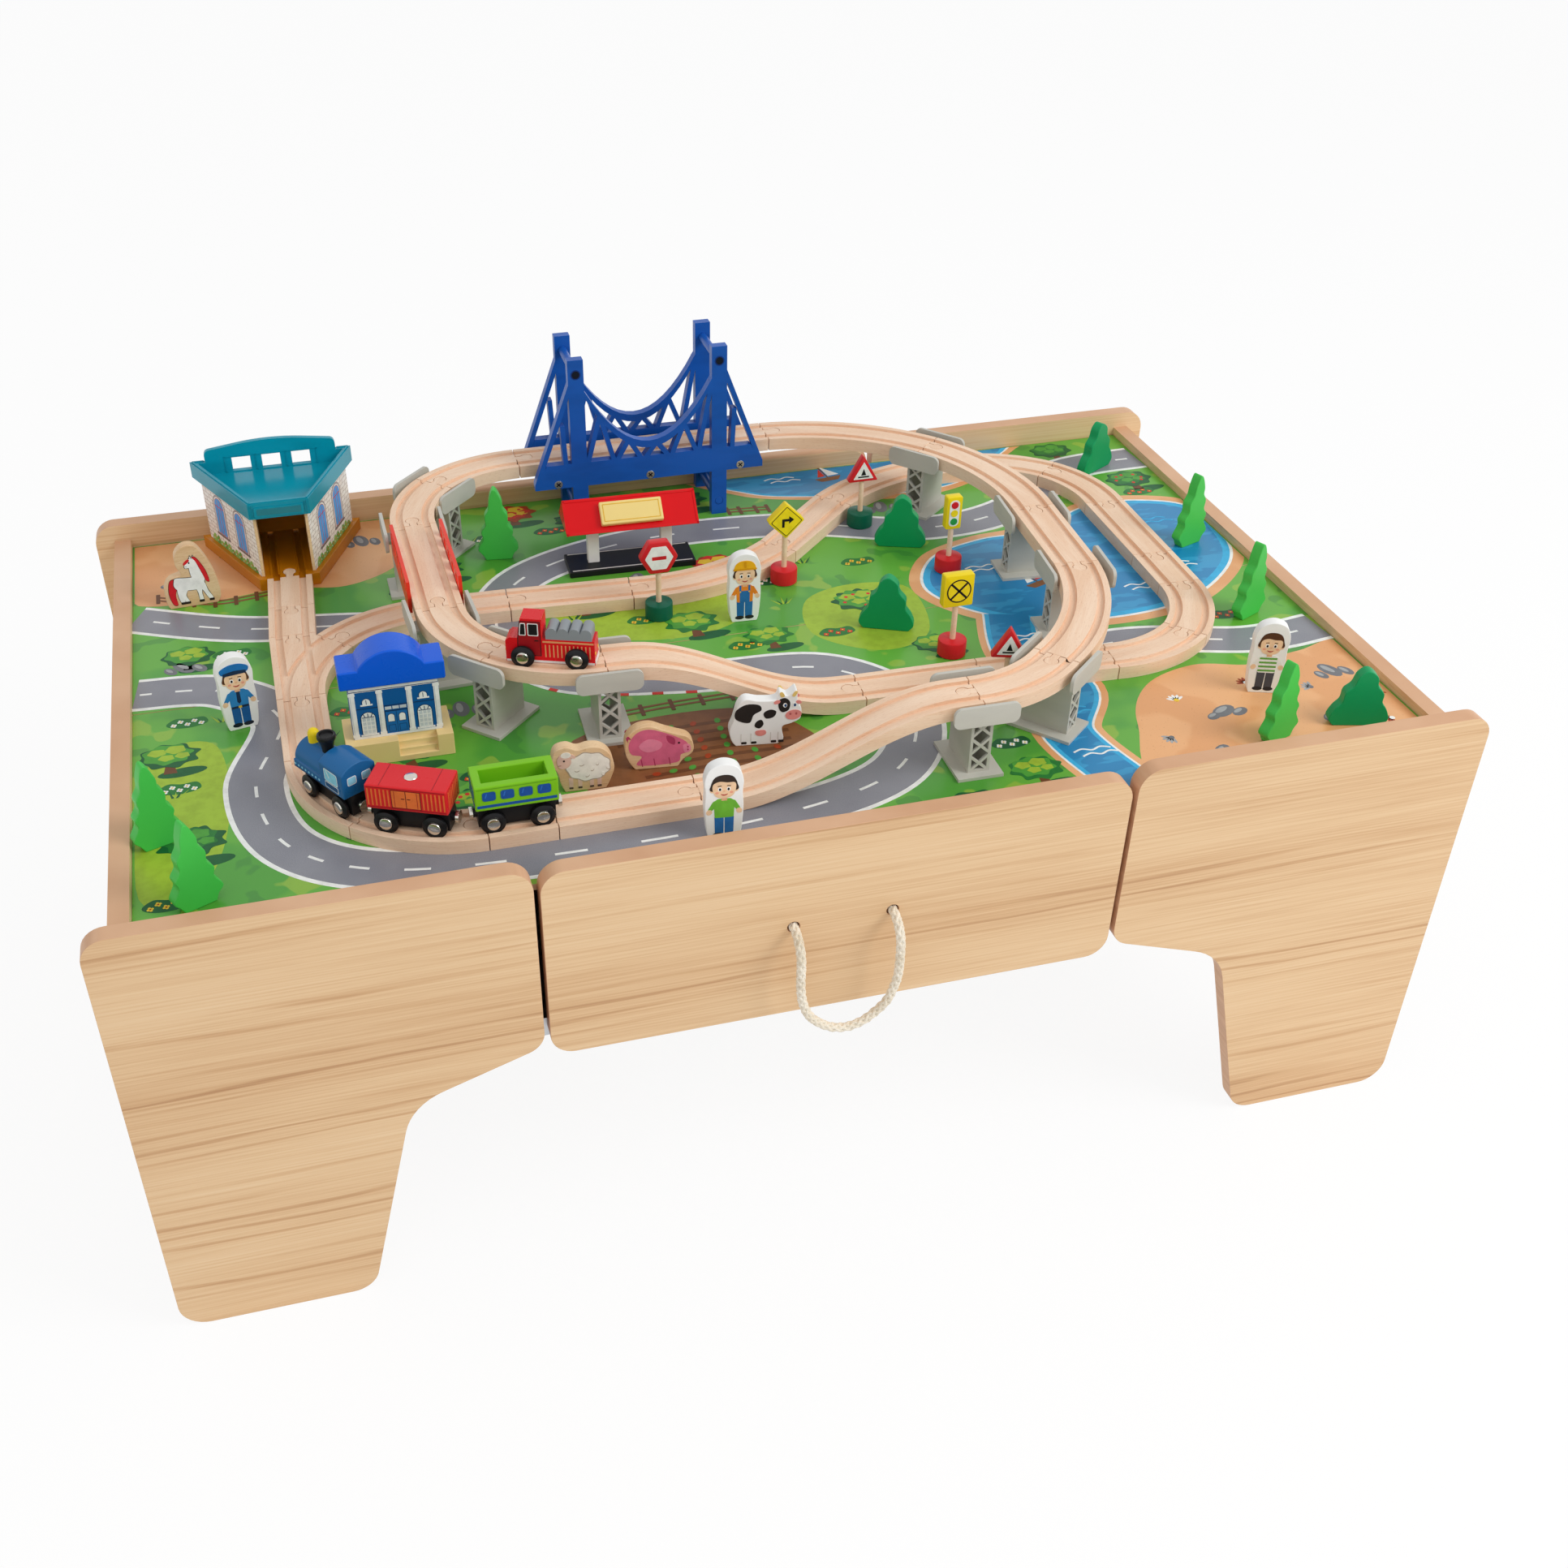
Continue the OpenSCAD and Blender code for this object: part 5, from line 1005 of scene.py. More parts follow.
shed = {"share": (-0.362, 0.389), "base": 12, "frontCorner": (24.26, -47), "backCorner": (66.74, 47),
        "slant": 65.68, "side": 103.1, "roofFront": -52, "roofFoot": 72, "roofHeight": 15,
        "window": (17, 37), "sill": 14, "sideWindows": (31, 71), "backWindows": (33, 66.7, 100),
        "arches": [("stone", 13, 24, 41.6, 0.12), ("white", 13, 20.4, 39.8, 0.18),
                   ("red", 14, 17.9, 37.5, 0.22), ("pane", 14.6, 17, 36.4, 0.26)],
        "bars": [("red", 0, 42.5, 17, 0.8, 0.32), ("joint", 0, 12.6, 25, 2.2, 0.34, 0.4)],
        "fascia": [("teal", 0, 78.6, 44, 9, 0.9, 1.0), ("plate", 0, 78.6, 39, 6, 1.15, 0.6)],
        "shrub": 7, "fasciaRibs": (-25, -23.4, 23.4, 25), "lip": [(25.2, -50.6), (71.4, 50.6), (61, 50.6)],
        "lipSize": (1.6, 0.9), "backWall": 46.9, "backRails": (3.4, 18.6), "backBars": (-42, -13.8, 13.8, 42),
        "floorRails": (-16, -9, 9, 16)}


def stonePrint():
    f = Finish("stonePrint", coatWeight=0.05, coatRoughness=0.25, specularIorLevel=0.3)
    place = f.where((95, 150, 1), 0, "UV")
    wobble = f.cloud(f.where((30, 30, 1), 0, "UV"), 1.0, 2)
    cells = f.node("TexBrick", {"offset": 0.5}, {"Vector": place, "Scale": 1.0, "Mortar Size": 0.035,
                   "Mortar Smooth": 0.3, "Brick Width": 1.0, "Row Height": 0.62, "Color1": "fbf8f3",
                   "Color2": "f5eee7", "Mortar": "a08a80"})
    f.feed("baseColor", f.mix(f.step(wobble, 0.42, 0.7) * 0.2, cells, "e4d2c8"))
    f.feed("roughness", 0.38 + wobble * 0.1)
    f.bump(wobble, 0.00002, 0.3)
    return f


def wallUv(bm):  # stones run along each wall, ends are raw wood and inside faces amber
    layer = bm.loops.layers.uv.new("wall")
    for face in bm.faces:
        upright = abs(face.normal.z) < 0.7
        along = Vector((-face.normal.y, face.normal.x, 0)) if upright else Vector((1, 0, 0))
        along.normalize()
        for loop in face.loops:
            p = loop.vert.co
            loop[layer].uv = (p.dot(along), p.z if upright else p.y)
        middle = face.calc_center_median() - onBoard(shed["share"]).translation
        isEnd = abs(face.normal.x) > 0.96 or face.normal.y < -0.9 and middle.y < 0
        isInside = middle.xy.dot(face.normal.xy) < 0
        face.material_index = 1 if isEnd else 2 if isInside else 0


tealPlastic = plastic("tealClear", "0aa6bf", 0.16, 0.86, transmissionWeight=0.2, ior=1.45)
amberPlastic = plastic("amberClear", "d68410", 0.16, 0.8, transmissionWeight=0.15, ior=1.45)
softCopy("shed_base", amberPlastic, 0.6)
softCopy("shed_walls", stonePrint(), 0.4, change=wallUv, more=[rawWood, amberPlastic])
softCopy("shed_roof", tealPlastic, 1.0)


def drawShedWindow(s, x):
    w, h = shed["window"]
    reach, head = w / 2 + 2.6, shed["sill"] + h - w / 2
    s.arches(shed["arches"], x, 16)
    for k in range(9):
        a = math.pi * k / 8
        jx, jy = x + reach * math.cos(a), head + reach * math.sin(a)
        s.box("joint", jx, jy, 2.0, 0.5, 0, math.degrees(a), 0.15)
    s.boxes(shed["bars"] + [("red", hand * w / 6, 31.6, 0.7, 34, 0.3) for hand in (-1, 1)], x)


def drawShrub(s, k, x):
    rise, light = 5.5 + 4 * math.sin(k * 2.1) ** 2, k % 2
    outline = [(x - 4.6, 0.6), (x + 4.6, 0.6), (x + 3.6, rise * 0.6), (x + 0.6, rise), (x - 3, rise * 0.7)]
    s.blob("leafLight" if light else "leaf", outline, 0.18 + 0.03 * light)
    s.disc("flower", x + 1.2, rise * 0.55, 0.9, steps=8, height=0.28)
    s.disc("white", x - 1.6, rise * 0.35, 0.7, steps=8, height=0.28)


def drawShedPrint():
    s = Sheet(stone="b3a5a5", pane="52aaf0", red="d3323a", leaf="6ea64a", leafLight="93c164", flower="e8604c",
              white="f4f2ec", joint="7d7172")
    base, slant, side, windows = (shed[key] for key in ("base", "slant", "side", "sideWindows"))
    frontX, frontY = shed["frontCorner"]
    backX, backY = shed["backCorner"]
    for corner, length, places in ((at(frontX, frontY, base, slant), side, windows),
                                   (at(-backX, backY, base, -slant), side, [side - x for x in windows]),
                                   (at(backX, backY, base, 180), 2 * backX, shed["backWindows"])):
        s.on(onBoard(shed["share"]) @ corner @ facingFront)
        for x in places:
            drawShedWindow(s, x)
        count = int(length / shed["shrub"])
        for k in range(1, count - 1):
            drawShrub(s, k, (k + 0.5) * length / count)
    s.done("shedPrint", "table", "brick_print")


def drawShedTrim():  # blank plate, a lip round the roof, bars inside its back wall, rails on the floor
    s = Sheet(teal=tealPlastic, plate=plastic("tealPlate", "2b8390", 0.4, 0.85), amber=amberPlastic)
    place, foot = onBoard(shed["share"]), shed["roofFoot"]
    s.on(frontOf(place, -shed["roofFront"]))
    s.boxes(shed["fascia"])
    for x in shed["fasciaRibs"]:
        s.box("teal", x, foot + 7.4, 0.9, 12.6, 0.2, height=0.8)
    s.on(place @ at(0, 0, foot + shed["roofHeight"]))
    width, rise = shed["lipSize"]
    left, right = ([Vector((hand * x, y)) for x, y in shed["lip"]] for hand in (-1, 1))
    for line in (left[:2], left[1:], right[:2], right[1:], [left[0], right[0]]):
        s.ribbon("teal", line, width, height=rise)
    s.on(frontOf(place, -shed["backWall"]))
    for y in shed["backRails"]:
        s.box("teal", 0, foot + y, 86, 0.9, 0.2, height=0.5)
    for x in shed["backBars"]:
        s.box("teal", x, foot + 11, 0.9, 15.6, 0.2, height=0.5)
    s.on(place @ at(0, 0, shed["base"]))
    for x in shed["floorRails"]:
        s.box("amber", x, 0, 1.4, 92, height=0.5)
    s.done("shedTrim", "table", "teal_plastic")


drawShedPrint()
drawShedTrim()
print("engine shed dressed")


# Station: red roof with a bare sign block, white posts, black platform

station = {"share": (-0.057, 0.251), "turn": -2, "eave": 46, "roofHeight": 24, "roofDepth": 48,
           "sign": (58, 22, 6), "signMargin": 3, "verge": 61, "roofBoard": 124, "deck": 6, "deckEdge": 16.6}
stationRed = paint("stationRed", "e00812", 0.22, "f0a090", 0.1)
whitePaint = paint("whitePaint", "f6f6f3", 0.34, "d8c9b0", 0.3)
blackPaint = paint("blackPaint", "1d1d1f", 0.38, "57524c", 0.3)
creamPaint = paint("creamPaint", "f7dc8d", 0.34, "f7edcf", 0.3)
softCopy("station_base", blackPaint, 0.8)
softCopy("station_posts", whitePaint, 0.8)
softCopy("station_roof", stationRed, 1.0)
softCopy("station_sign", creamPaint, 1.2)


def drawStation():  # roof boards, a line round the bare sign and platform edging
    s, place = Sheet(red=stationRed, gold="e9b93f", pale="e4e2dc"), onBoard(station["share"], station["turn"])
    high, half = station["roofHeight"], station["roofDepth"] / 2
    slope, tilt = math.hypot(high, half), Matrix.Rotation(math.atan2(high, half), 4, "X")
    for turn in (0, 180):
        s.on(place @ at(0, 0, 0, turn) @ at(0, -half, station["eave"]) @ tilt)
        for y in (1.2, slope - 1.2):
            s.box("red", 0, y, station["roofBoard"], 2.0, 0.4, height=0.7)
        for x in (-station["verge"], station["verge"]):
            s.box("red", x, slope / 2, 2.0, slope, 0.4, height=0.7)
    w, h, thick = station["sign"]
    inset = station["signMargin"]
    s.on(place @ at(0, -half / 2, station["eave"] + high / 2) @ tilt @ at(0, 0, thick))
    for hand in (-1, 1):
        s.box("gold", 0, hand * (h / 2 - inset), w - 2 * inset, 0.8, height=0.2)
        s.box("gold", hand * (w / 2 - inset), 0, 0.8, h - 2 * inset, height=0.2)
    s.on(place @ at(0, 0, station["deck"]))
    for y in (-station["deckEdge"], station["deckEdge"]):
        s.box("pale", 0, y, 114, 1.2, height=0.2)
    s.done("stationTrim", "table", "red_paint")


drawStation()
print("station dressed")


# Blue house

house = {"share": (-0.298, -0.169), "base": 20, "halfDepth": 12, "columns": (-32.6, -11.4, 11.4, 32.6),
         "windows": (-22, 22), "doors": (-4.3, 4.3), "panes": (3.2, 3.7), "paneSize": (2.5, 2.9),
         "paneFoot": 6.2,
         "bands": [("white", 0, 44.8, 69, 4.0, 0.5), ("navy", 0, 43.6, 69, 0.6, 0.6),
                   ("white", 0, 1.1, 69, 2.0, 0.5)],
         "column": [("white", 0, 22.5, 4.2, 42, 0.4), ("glass", -1.2, 22.5, 0.5, 41, 0.5),
                    ("white", 0, 41, 5.2, 2.2, 0.55, 0.3), ("white", 0, 3.4, 5.2, 2.4, 0.55, 0.3)],
         "windowArches": [("navy", 3.4, 12, 21, 0.18), ("white", 4, 10.8, 19.8, 0.24),
                          ("navy", 30.5, 7, 6.2, 0.2), ("white", 31, 6, 5.2, 0.26)],
         "window": [("navy", 0, 27.5, 16.6, 0.7, 0.2), ("navy", 0, 19.4, 9.6, 0.6, 0.32),
                    ("navy", -3, 21.3, 0.6, 3.2, 0.32, 0, 24), ("navy", 0, 21.3, 0.6, 3.2, 0.32),
                    ("navy", 3, 21.3, 0.6, 3.2, 0.32, 0, -24), ("white", 0, 3.2, 14, 1.3, 0.5, 0.2),
                    ("navy", 0, 33.2, 0.5, 4.2, 0.32), ("white", 0, 30.6, 9.4, 1.2, 0.4, 0.2)],
         "doorway": [("navy", 0, 12.5, 18.2, 21, 0.16), ("glass", -5.8, 25.4, 5, 2.6, 0.3),
                     ("glass", 0, 25.4, 5, 2.6, 0.3), ("glass", 5.8, 25.4, 5, 2.6, 0.3),
                     ("navy", 0, 27.7, 18.6, 0.8, 0.25)],
         "door": [("blue", 0, 12, 8.2, 20, 0.24), ("navy", 0, 6.6, 5.8, 6.4, 0.28),
                  ("blue", 0, 6.6, 5, 5.6, 0.32)],
         "doorArches": [("navy", 12.4, 5.8, 7.8, 0.28), ("white", 12.9, 4.8, 6.8, 0.33)]}
houseBlue = paint("houseBlue", "115c9f", 0.36, "7fa6c4", 0.25)
roofBlue = paint("roofBlue", "0b5fde", 0.26, "6f9fe6", 0.1)
houseCream = paint("houseCream", "f6d795", 0.36, "f7ebd0", 0.25)
softCopy("house_base", houseCream, 0.6)
softCopy("house_body", houseBlue, 0.8)
softCopy("house_roof", roofBlue, 1.4)


def drawHouse():
    s = Sheet(white="f3f3ef", blue="1f6cb3", navy="163a63", glass="cfd6da")
    across, upward = house["panes"]
    for wall in bothSides(onBoard(house["share"]) @ at(0, 0, house["base"]), house["halfDepth"]):
        s.on(wall).boxes(house["bands"] + house["doorway"])
        for x in house["columns"]:
            s.boxes(house["column"], x)
        for x in house["windows"]:
            s.arches(house["windowArches"], x)
            s.boxes(house["window"], x)
            for row in range(4):
                for col in (-1, 0, 1):
                    y = house["paneFoot"] + row * upward
                    s.box("glass", x + col * across, y, *house["paneSize"], height=0.3)
        for x in house["doors"]:
            s.boxes(house["door"], x)
            s.arches(house["doorArches"], x)
    s.done("housePrint", "table", "house_blue")


drawHouse()
print("house dressed")


# Rolling stock: every vehicle in its own frame, +X forward, wheel rims on z = 0

joints = {j["name"]: j for j in frame["joints"]}
wheel = {"radius": 9.5, "middle": 11.5, "axle": 1.5, "axleEnd": 9.1, "hubRadius": 5.15, "hubFrom": 2.0,
         "profile": [(0, -2.5), (4.6, -2.5), (5.9, -2.4), (8.7, -1.62), (9.35, -1.2), (9.5, -0.7), (9.5, 0.7),
                     (9.35, 1.2), (8.7, 1.62), (7.2, 2.15), (6.7, 2.45), (6.2, 2.5), (5.8, 2.2), (5.2, 2.1),
                     (5.05, 2.6), (4.7, 3.1), (3.6, 3.4), (2.0, 3.5), (0, 3.5)]}
wheelBlack = plastic("wheelBlack", "17171a", 0.3, 0.7)
hubSteel = metal("hubSteel", "d8d4cb", 0.16)


def onTrack(name):
    front, rear = (Vector(joints[name + end]["pos_m"]) for end in ("_front_wheels", "_rear_wheels"))
    way = front - rear
    turn = math.degrees(math.atan2(way.y, way.x))
    middle = (front + rear) / 2 / mm
    return at(middle.x, middle.y, middle.z - wheel["radius"], turn)


def isHub(r, z):
    return int(r < wheel["hubRadius"] and z > wheel["hubFrom"])


def wheelSet(name):
    joint = joints[name + "_wheels"]
    node = joint["child"]
    turned = Vector(joint["axis"]).to_track_quat("Z", "Y").to_matrix().to_4x4()
    place = Matrix.Translation(joint["pos_m"]) @ turned
    bm = bmesh.new()
    for flip in (0, 180):
        side = place @ Matrix.Rotation(math.radians(flip), 4, "X") @ at(0, 0, wheel["middle"])
        spun(bm, wheel["profile"], side, slots=isHub)
    reach = wheel["axleEnd"]
    spun(bm, [(0, -reach), (wheel["axle"], -reach), (wheel["axle"], reach), (0, reach)], place, 1, 16)
    piece(camel(node), bm, [wheelBlack, hubSteel], node, node, smooth=28)


for vehicle in ("engine", "red_wagon", "green_wagon", "truck"):
    for end in ("_front", "_rear"):
        wheelSet(vehicle + end)

chassis = {"edge": 0.6, "magnetFrom": 0.7, "lengths": {"engine": 64, "red_wagon": 62, "green_wagon": 62}}
for vehicle, length in chassis["lengths"].items():
    inward = onTrack(vehicle).inverted()

    def markMagnets(bm):
        for face in bm.faces:
            x = abs((inward @ face.calc_center_median()).x) / mm
            face.material_index = int(x > length / 2 + chassis["magnetFrom"])

    softCopy(vehicle + "_chassis", blackPaint, chassis["edge"], change=markMagnets,
             more=[hubSteel])

engineBlue = paint("engineBlue", "1c659f", 0.28, "6f8fa8", 0.3)
wagonRed = paint("wagonRed", "e0252c", 0.28, "e8a08a", 0.25)
wagonLime = paint("wagonLime", "7ec41f", 0.3, "cfe08a", 0.25)
truckRed = paint("truckRed", "e01620", 0.26, "eaa28c", 0.25)
loadGrey = paint("loadGrey", "8f9599", 0.34, "b9bcbd", 0.25)
funnelBlack = paint("funnelBlack", "1a1a1c", 0.3, "55504a", 0.2)
domeYellow = paint("domeYellow", "f3d51e", 0.28, "f7ebb0", 0.2)
softCopy("engine_body", engineBlue, 1.0)
softCopy("red_wagon_body", wagonRed, 1.2)
softCopy("green_wagon_body", wagonLime, 1.0)
softCopy("truck_body", truckRed, 1.0)
softCopy("truck_load", loadGrey, 0.6)

engine = {"halfWidth": 15, "nose": 32, "funnel": (5.25, 41), "dome": (23, 41), "rivets": (8, -1, 4.4),
          "side": [("white", -17.5, 36.8, 16.5, 10.6, 0.16, 1.6), ("pane", -17.5, 36.8, 15.3, 9.4, 0.22, 1.2),
                   ("white", -13.9, 38.2, 1.0, 6.6, 0.28, 0, -28), ("mid", -17.5, 28.2, 15.5, 4.2, 0.22, 0.6),
                   ("white", -17.5, 28.2, 16.5, 5.2, 0.16, 0.8), ("dark", 14.5, 24.6, 34, 0.8, 0.16)],
          "front": [("mid", 0, 33.5, 9.6, 0.4, 28), ("dark", 0, 33.5, 8.4, 0.6, 28),
                    ("pane", 0, 33.5, 1.8, 1.0, 16), ("white", -10, 27, 1.6, 0.5, 14),
                    ("white", 10, 27, 1.6, 0.5, 14)],
          "bar": [("mid", 0, 33.5, 14, 1.2, 0.8, 0.3)],
          "rear": [("white", 6.4, 37, 8, 7, 0.16, 1.4), ("pane", 6.4, 37, 7, 6, 0.22, 1.1)],
          "funnelProfile": [(0, 0), (4.5, 0), (4.5, 4), (4.8, 6.5), (5.6, 10), (6.6, 12.6), (7.25, 13.6),
                            (7.25, 15.6), (6.95, 16.6), (6.2, 17), (5.4, 16.6), (4.9, 15), (0, 14.2)],
          "domeProfile": [(0, 0), (4.5, 0), (4.5, 8.2), (4.35, 10), (3.8, 11.6), (2.8, 12.8), (1.5, 13.4),
                          (0, 13.5)]}


def bothEnds(place, reach):
    return [place @ at(hand * reach, 0, 0, hand * 90) @ facingFront for hand in (1, -1)]


def drawEngine():
    s, place = Sheet(pane="8fd3ee", white="f2f4f2", mid="154d7d", dark="0f3c66"), onTrack("engine")
    count, first, pitch = engine["rivets"]
    for hand, side in zip((1, -1), bothSides(place, engine["halfWidth"])):
        s.on(side).boxes(engine["side"], hand=hand)
        s.discs([("pane", first + pitch * k, 27, 0.95, 0.2, 12) for k in range(count)], hand)
    nose, rear = bothEnds(place, engine["nose"])
    s.on(nose).discs(engine["front"])
    s.boxes(engine["bar"])
    for hand in (-1, 1):
        s.on(rear).boxes(engine["rear"], hand=hand)
    s.done("enginePrint", "engine", "engine_blue")


def turnFunnelAndDome():
    bm, place = bmesh.new(), onTrack("engine")
    for slot, (name, steps) in enumerate((("funnel", 36), ("dome", 28))):
        x, z = engine[name]
        spun(bm, engine[name + "Profile"], place @ at(x, 0, z), slot, steps)
    made = piece("engineFunnelAndDome", bm, [funnelBlack, domeYellow], "engine", "engine_funnel_and_dome")


wagon = {"halfWidth": 15, "end": 31, "top": 44.5, "boards": (34.2, 14.5),
         "cap": [(0, -0.6), (5, -0.6), (5, 0.3), (4.6, 0.7), (3.2, 0.95), (1.6, 1.05), (0, 1.05)],
         "redSide": [("dark", 0, 34.2, 22.4, 15.6, 0.16), ("red", 0, 25.6, 59, 0.7, 0.18),
                     ("red", 0, 43, 59, 0.6, 0.18)],
         "redDoor": [("orange", 5.5, 34.2, 10.4, 14.6, 0.24), ("dark", 2.2, 35, 2.6, 0.7, 0.34),
                     ("red", 8.6, 34.2, 0.4, 13.6, 0.3)],
         "redRoof": [("red", -20, 0, 0.5, 28, 0.15), ("red", 20, 0, 0.5, 28, 0.15)],
         "greenSide": [("blue", 0, 27.4, 59, 2.3, 0.2), ("green", 0, 42.4, 59, 0.5, 0.18)],
         "greenWindow": [("green", 0, 36, 10.6, 8.6, 0.14, 2.2), ("blue", 0, 36, 9.8, 7.8, 0.22, 1.9),
                         ("glint", -2.2, 36.8, 0.9, 4.2, 0.28, 0.3, -18)],
         "greenEnd": [("blue", 0, 27.4, 27, 2.3, 0.2), ("blue", -6.6, 36, 9.6, 7.8, 0.2, 1.9),
                      ("blue", 6.6, 36, 9.6, 7.8, 0.2, 1.9)]}


def drawRedWagon():  # planks, a pair of sliding doors and a steel stud on the roof
    s, place = Sheet(orange="f0793c", red="a81f26", dark="5a1b1c", steel=hubSteel), onTrack("red_wagon")
    y, tall = wagon["boards"]
    planks = [("orange", 13.2 + 3.1 * k, y, 1.15, tall, 0.18) for k in range(6)]
    for side in bothSides(place, wagon["halfWidth"]):
        s.on(side).boxes(wagon["redSide"])
        for hand in (-1, 1):
            s.boxes(wagon["redDoor"] + planks, hand=hand)
    for end in bothEnds(place, wagon["end"]):
        s.on(end).boxes([("orange", (k - 3) * 3.6, y, 1.1, tall, 0.18) for k in range(7)])
    s.on(place @ at(0, 0, wagon["top"])).boxes(wagon["redRoof"])
    spun(s.bm, wagon["cap"], s.place, s.slot("steel"), 28)
    s.done("redWagonPrint", "red_wagon", "red_paint")


def drawGreenWagon():
    s, place = Sheet(blue="1d529f", green="5fa01a", glint="2f6fc0"), onTrack("green_wagon")
    for side in bothSides(place, wagon["halfWidth"]):
        s.on(side).boxes(wagon["greenSide"])
        for k in range(4):
            s.boxes(wagon["greenWindow"], (k - 1.5) * 13.6)
    for end in bothEnds(place, wagon["end"]):
        s.on(end).boxes(wagon["greenEnd"])
    s.done("greenWagonPrint", "green_wagon", "lime_paint")


truck = {"halfWidth": 8.25, "end": 35.5, "screenFoot": (25.6, 24.5), "screenTop": (22.7, 42),
         "cab": [  # colour, corner, rise and outline
             ("black", 0, 0.1, [(7, 9), (23.5, 9), (26, 15), (25.6, 24), (23.4, 39.8), (7, 39.8)]),
             ("red", 0, 0.15, [(7.6, 9.6), (23.2, 9.6), (25.3, 15), (25, 24), (22.9, 39.2), (7.6, 39.2)]),
             ("white", 1, 0.2, [(8.6, 27), (17.2, 27), (17.2, 38.2), (8.6, 38.2)]),
             ("black", 0.7, 0.26, [(9.4, 27.8), (16.4, 27.8), (16.4, 37.4), (9.4, 37.4)]),
             ("white", 0.8, 0.2, [(18.6, 27), (24.2, 27), (22.9, 38.2), (18.6, 38.2)]),
             ("black", 0.6, 0.26, [(19.3, 27.8), (23.4, 27.8), (22.3, 37.4), (19.3, 37.4)])],
         "side": [("black", 10.4, 22.8, 3.4, 0.9, 0.25, 0.3), ("tan", -14.5, 22.2, 40.5, 1.5, 0.2),
                  ("white", 0, 4.2, 70, 1.9, 0.22, 0.4)],
         "bumper": [("white", 0, 5.6, 16, 4.4, 0.4, 0.8)],
         "frontLamps": [("lamp", -6, 13.5, 1.7, 0.4, 16), ("lamp", 6, 13.5, 1.7, 0.4, 16)],
         "rearLamps": [("lamp", -6, 13, 1.4, 0.35, 14), ("lamp", 6, 13, 1.4, 0.35, 14)],
         "screen": [("white", 0, 8.6, 14.4, 11.6, 0.16, 1), ("black", 0, 8.6, 13.2, 10.4, 0.24, 0.8)]}


def drawTruck():
    s = Sheet(black="1b1b1d", white="f1f1ee", tan="e9a06a", red="a3171f", lamp="f4d34a")
    place = onTrack("truck")
    for hand, side in zip((1, -1), bothSides(place, truck["halfWidth"])):
        s.on(side)
        for colour, corner, rise, points in truck["cab"]:
            s.shape(colour, [(hand * x, y) for x, y in points], corner, rise)
        s.boxes(truck["side"] + [("tan", 3.6 - 3.2 * k, 14, 1.0, 11, 0.18) for k in range(12)], hand=hand)
    front, rear = bothEnds(place, truck["end"])
    s.on(front).boxes(truck["bumper"] + [("black", 0, 10.6 + 2 * k, 9, 0.9, 0.25, 0.3) for k in range(4)])
    s.discs(truck["frontLamps"])
    s.on(rear).boxes(truck["bumper"])
    s.discs(truck["rearLamps"])
    (footX, footZ), (topX, topZ) = truck["screenFoot"], truck["screenTop"]
    lean = math.atan2(footX - topX, topZ - footZ)
    s.on(place @ at(footX, 0, footZ, 90) @ facingFront @ Matrix.Rotation(-lean, 4, "X"))
    s.boxes(truck["screen"])
    s.done("truckPrint", "truck", "red_paint")


drawEngine()
turnFunnelAndDome()
drawRedWagon()
drawGreenWagon()
drawTruck()
print("rolling stock dressed")


# Road signs: turned base and post, a bevelled plate with a printed face on both sides

signs = {"height": 80, "baseRadius": 12.5, "baseHeight": 15, "postRadius": 2.5, "plateThick": 9,
         "plateSize": 26, "plateCorner": 1.6, "light": (7.5, 16), "square": (13.5, 15),
         "rows": [  # kind, share of the board, turn, scale, colour of the base
             ("triangle", (0.173, 0.284), 0, 0.92, "green"), ("light", (0.222, 0.105), 0, 0.95, "red"),
             ("diamond", (0.0702, 0.135), 0, 1, "red"), ("hexagon", (-0.054, 0.079), 0, 0.94, "green"),
             ("square", (0.171, -0.131), 0, 0.98, "red"), ("triangle", (0.182, -0.276), -18, 0.92, "green")],
         "arrow": [(-4.4, -5.5), (-1.9, -5.5), (-1.9, 0.2), (2.2, 0.2), (2.2, -2.2), (7, 1.6), (2.2, 5.4),
                   (2.2, 2.8), (-4.4, 2.8)]}
signFinishes = {"wood": beech("postWood", source="Object"),
                "red": paint("signRed", "d8252b", 0.3, "e6a391", 0.2),
                "yellow": paint("signYellow", "f5da16", 0.3, "f7edb4", 0.2),
                "green": paint("signGreen", "0c5f47", 0.3, "6f9a88", 0.2),
                "white": "f4f4f0", "black": "1c1c1d", "redInk": "d5262c", "greenInk": "2e9b49",
                "yellowInk": "f6dd22"}


def polygonPoints(sides, radius, turn):
    angles = [math.radians(turn + 360 * k / sides) for k in range(sides)]
    return [(radius * math.cos(a), radius * math.sin(a)) for a in angles]


def plateOutline(kind):  # the points, and how far the plate reaches above its middle
    if kind in ("light", "square"):
        x, y = signs[kind]
        return [(-x, -y), (x, -y), (x, y), (-x, y)], y
    r = signs["plateSize"] * 2 / 3
    rows = {"triangle": (3, 90, r), "diamond": (4, 0, r), "hexagon": (6, 0, r * math.cos(math.pi / 6))}
    sides, turn, top = rows[kind]
    return polygonPoints(sides, r, turn), top


def smaller(points, share):
    return [(x * share, y * share) for x, y in points]


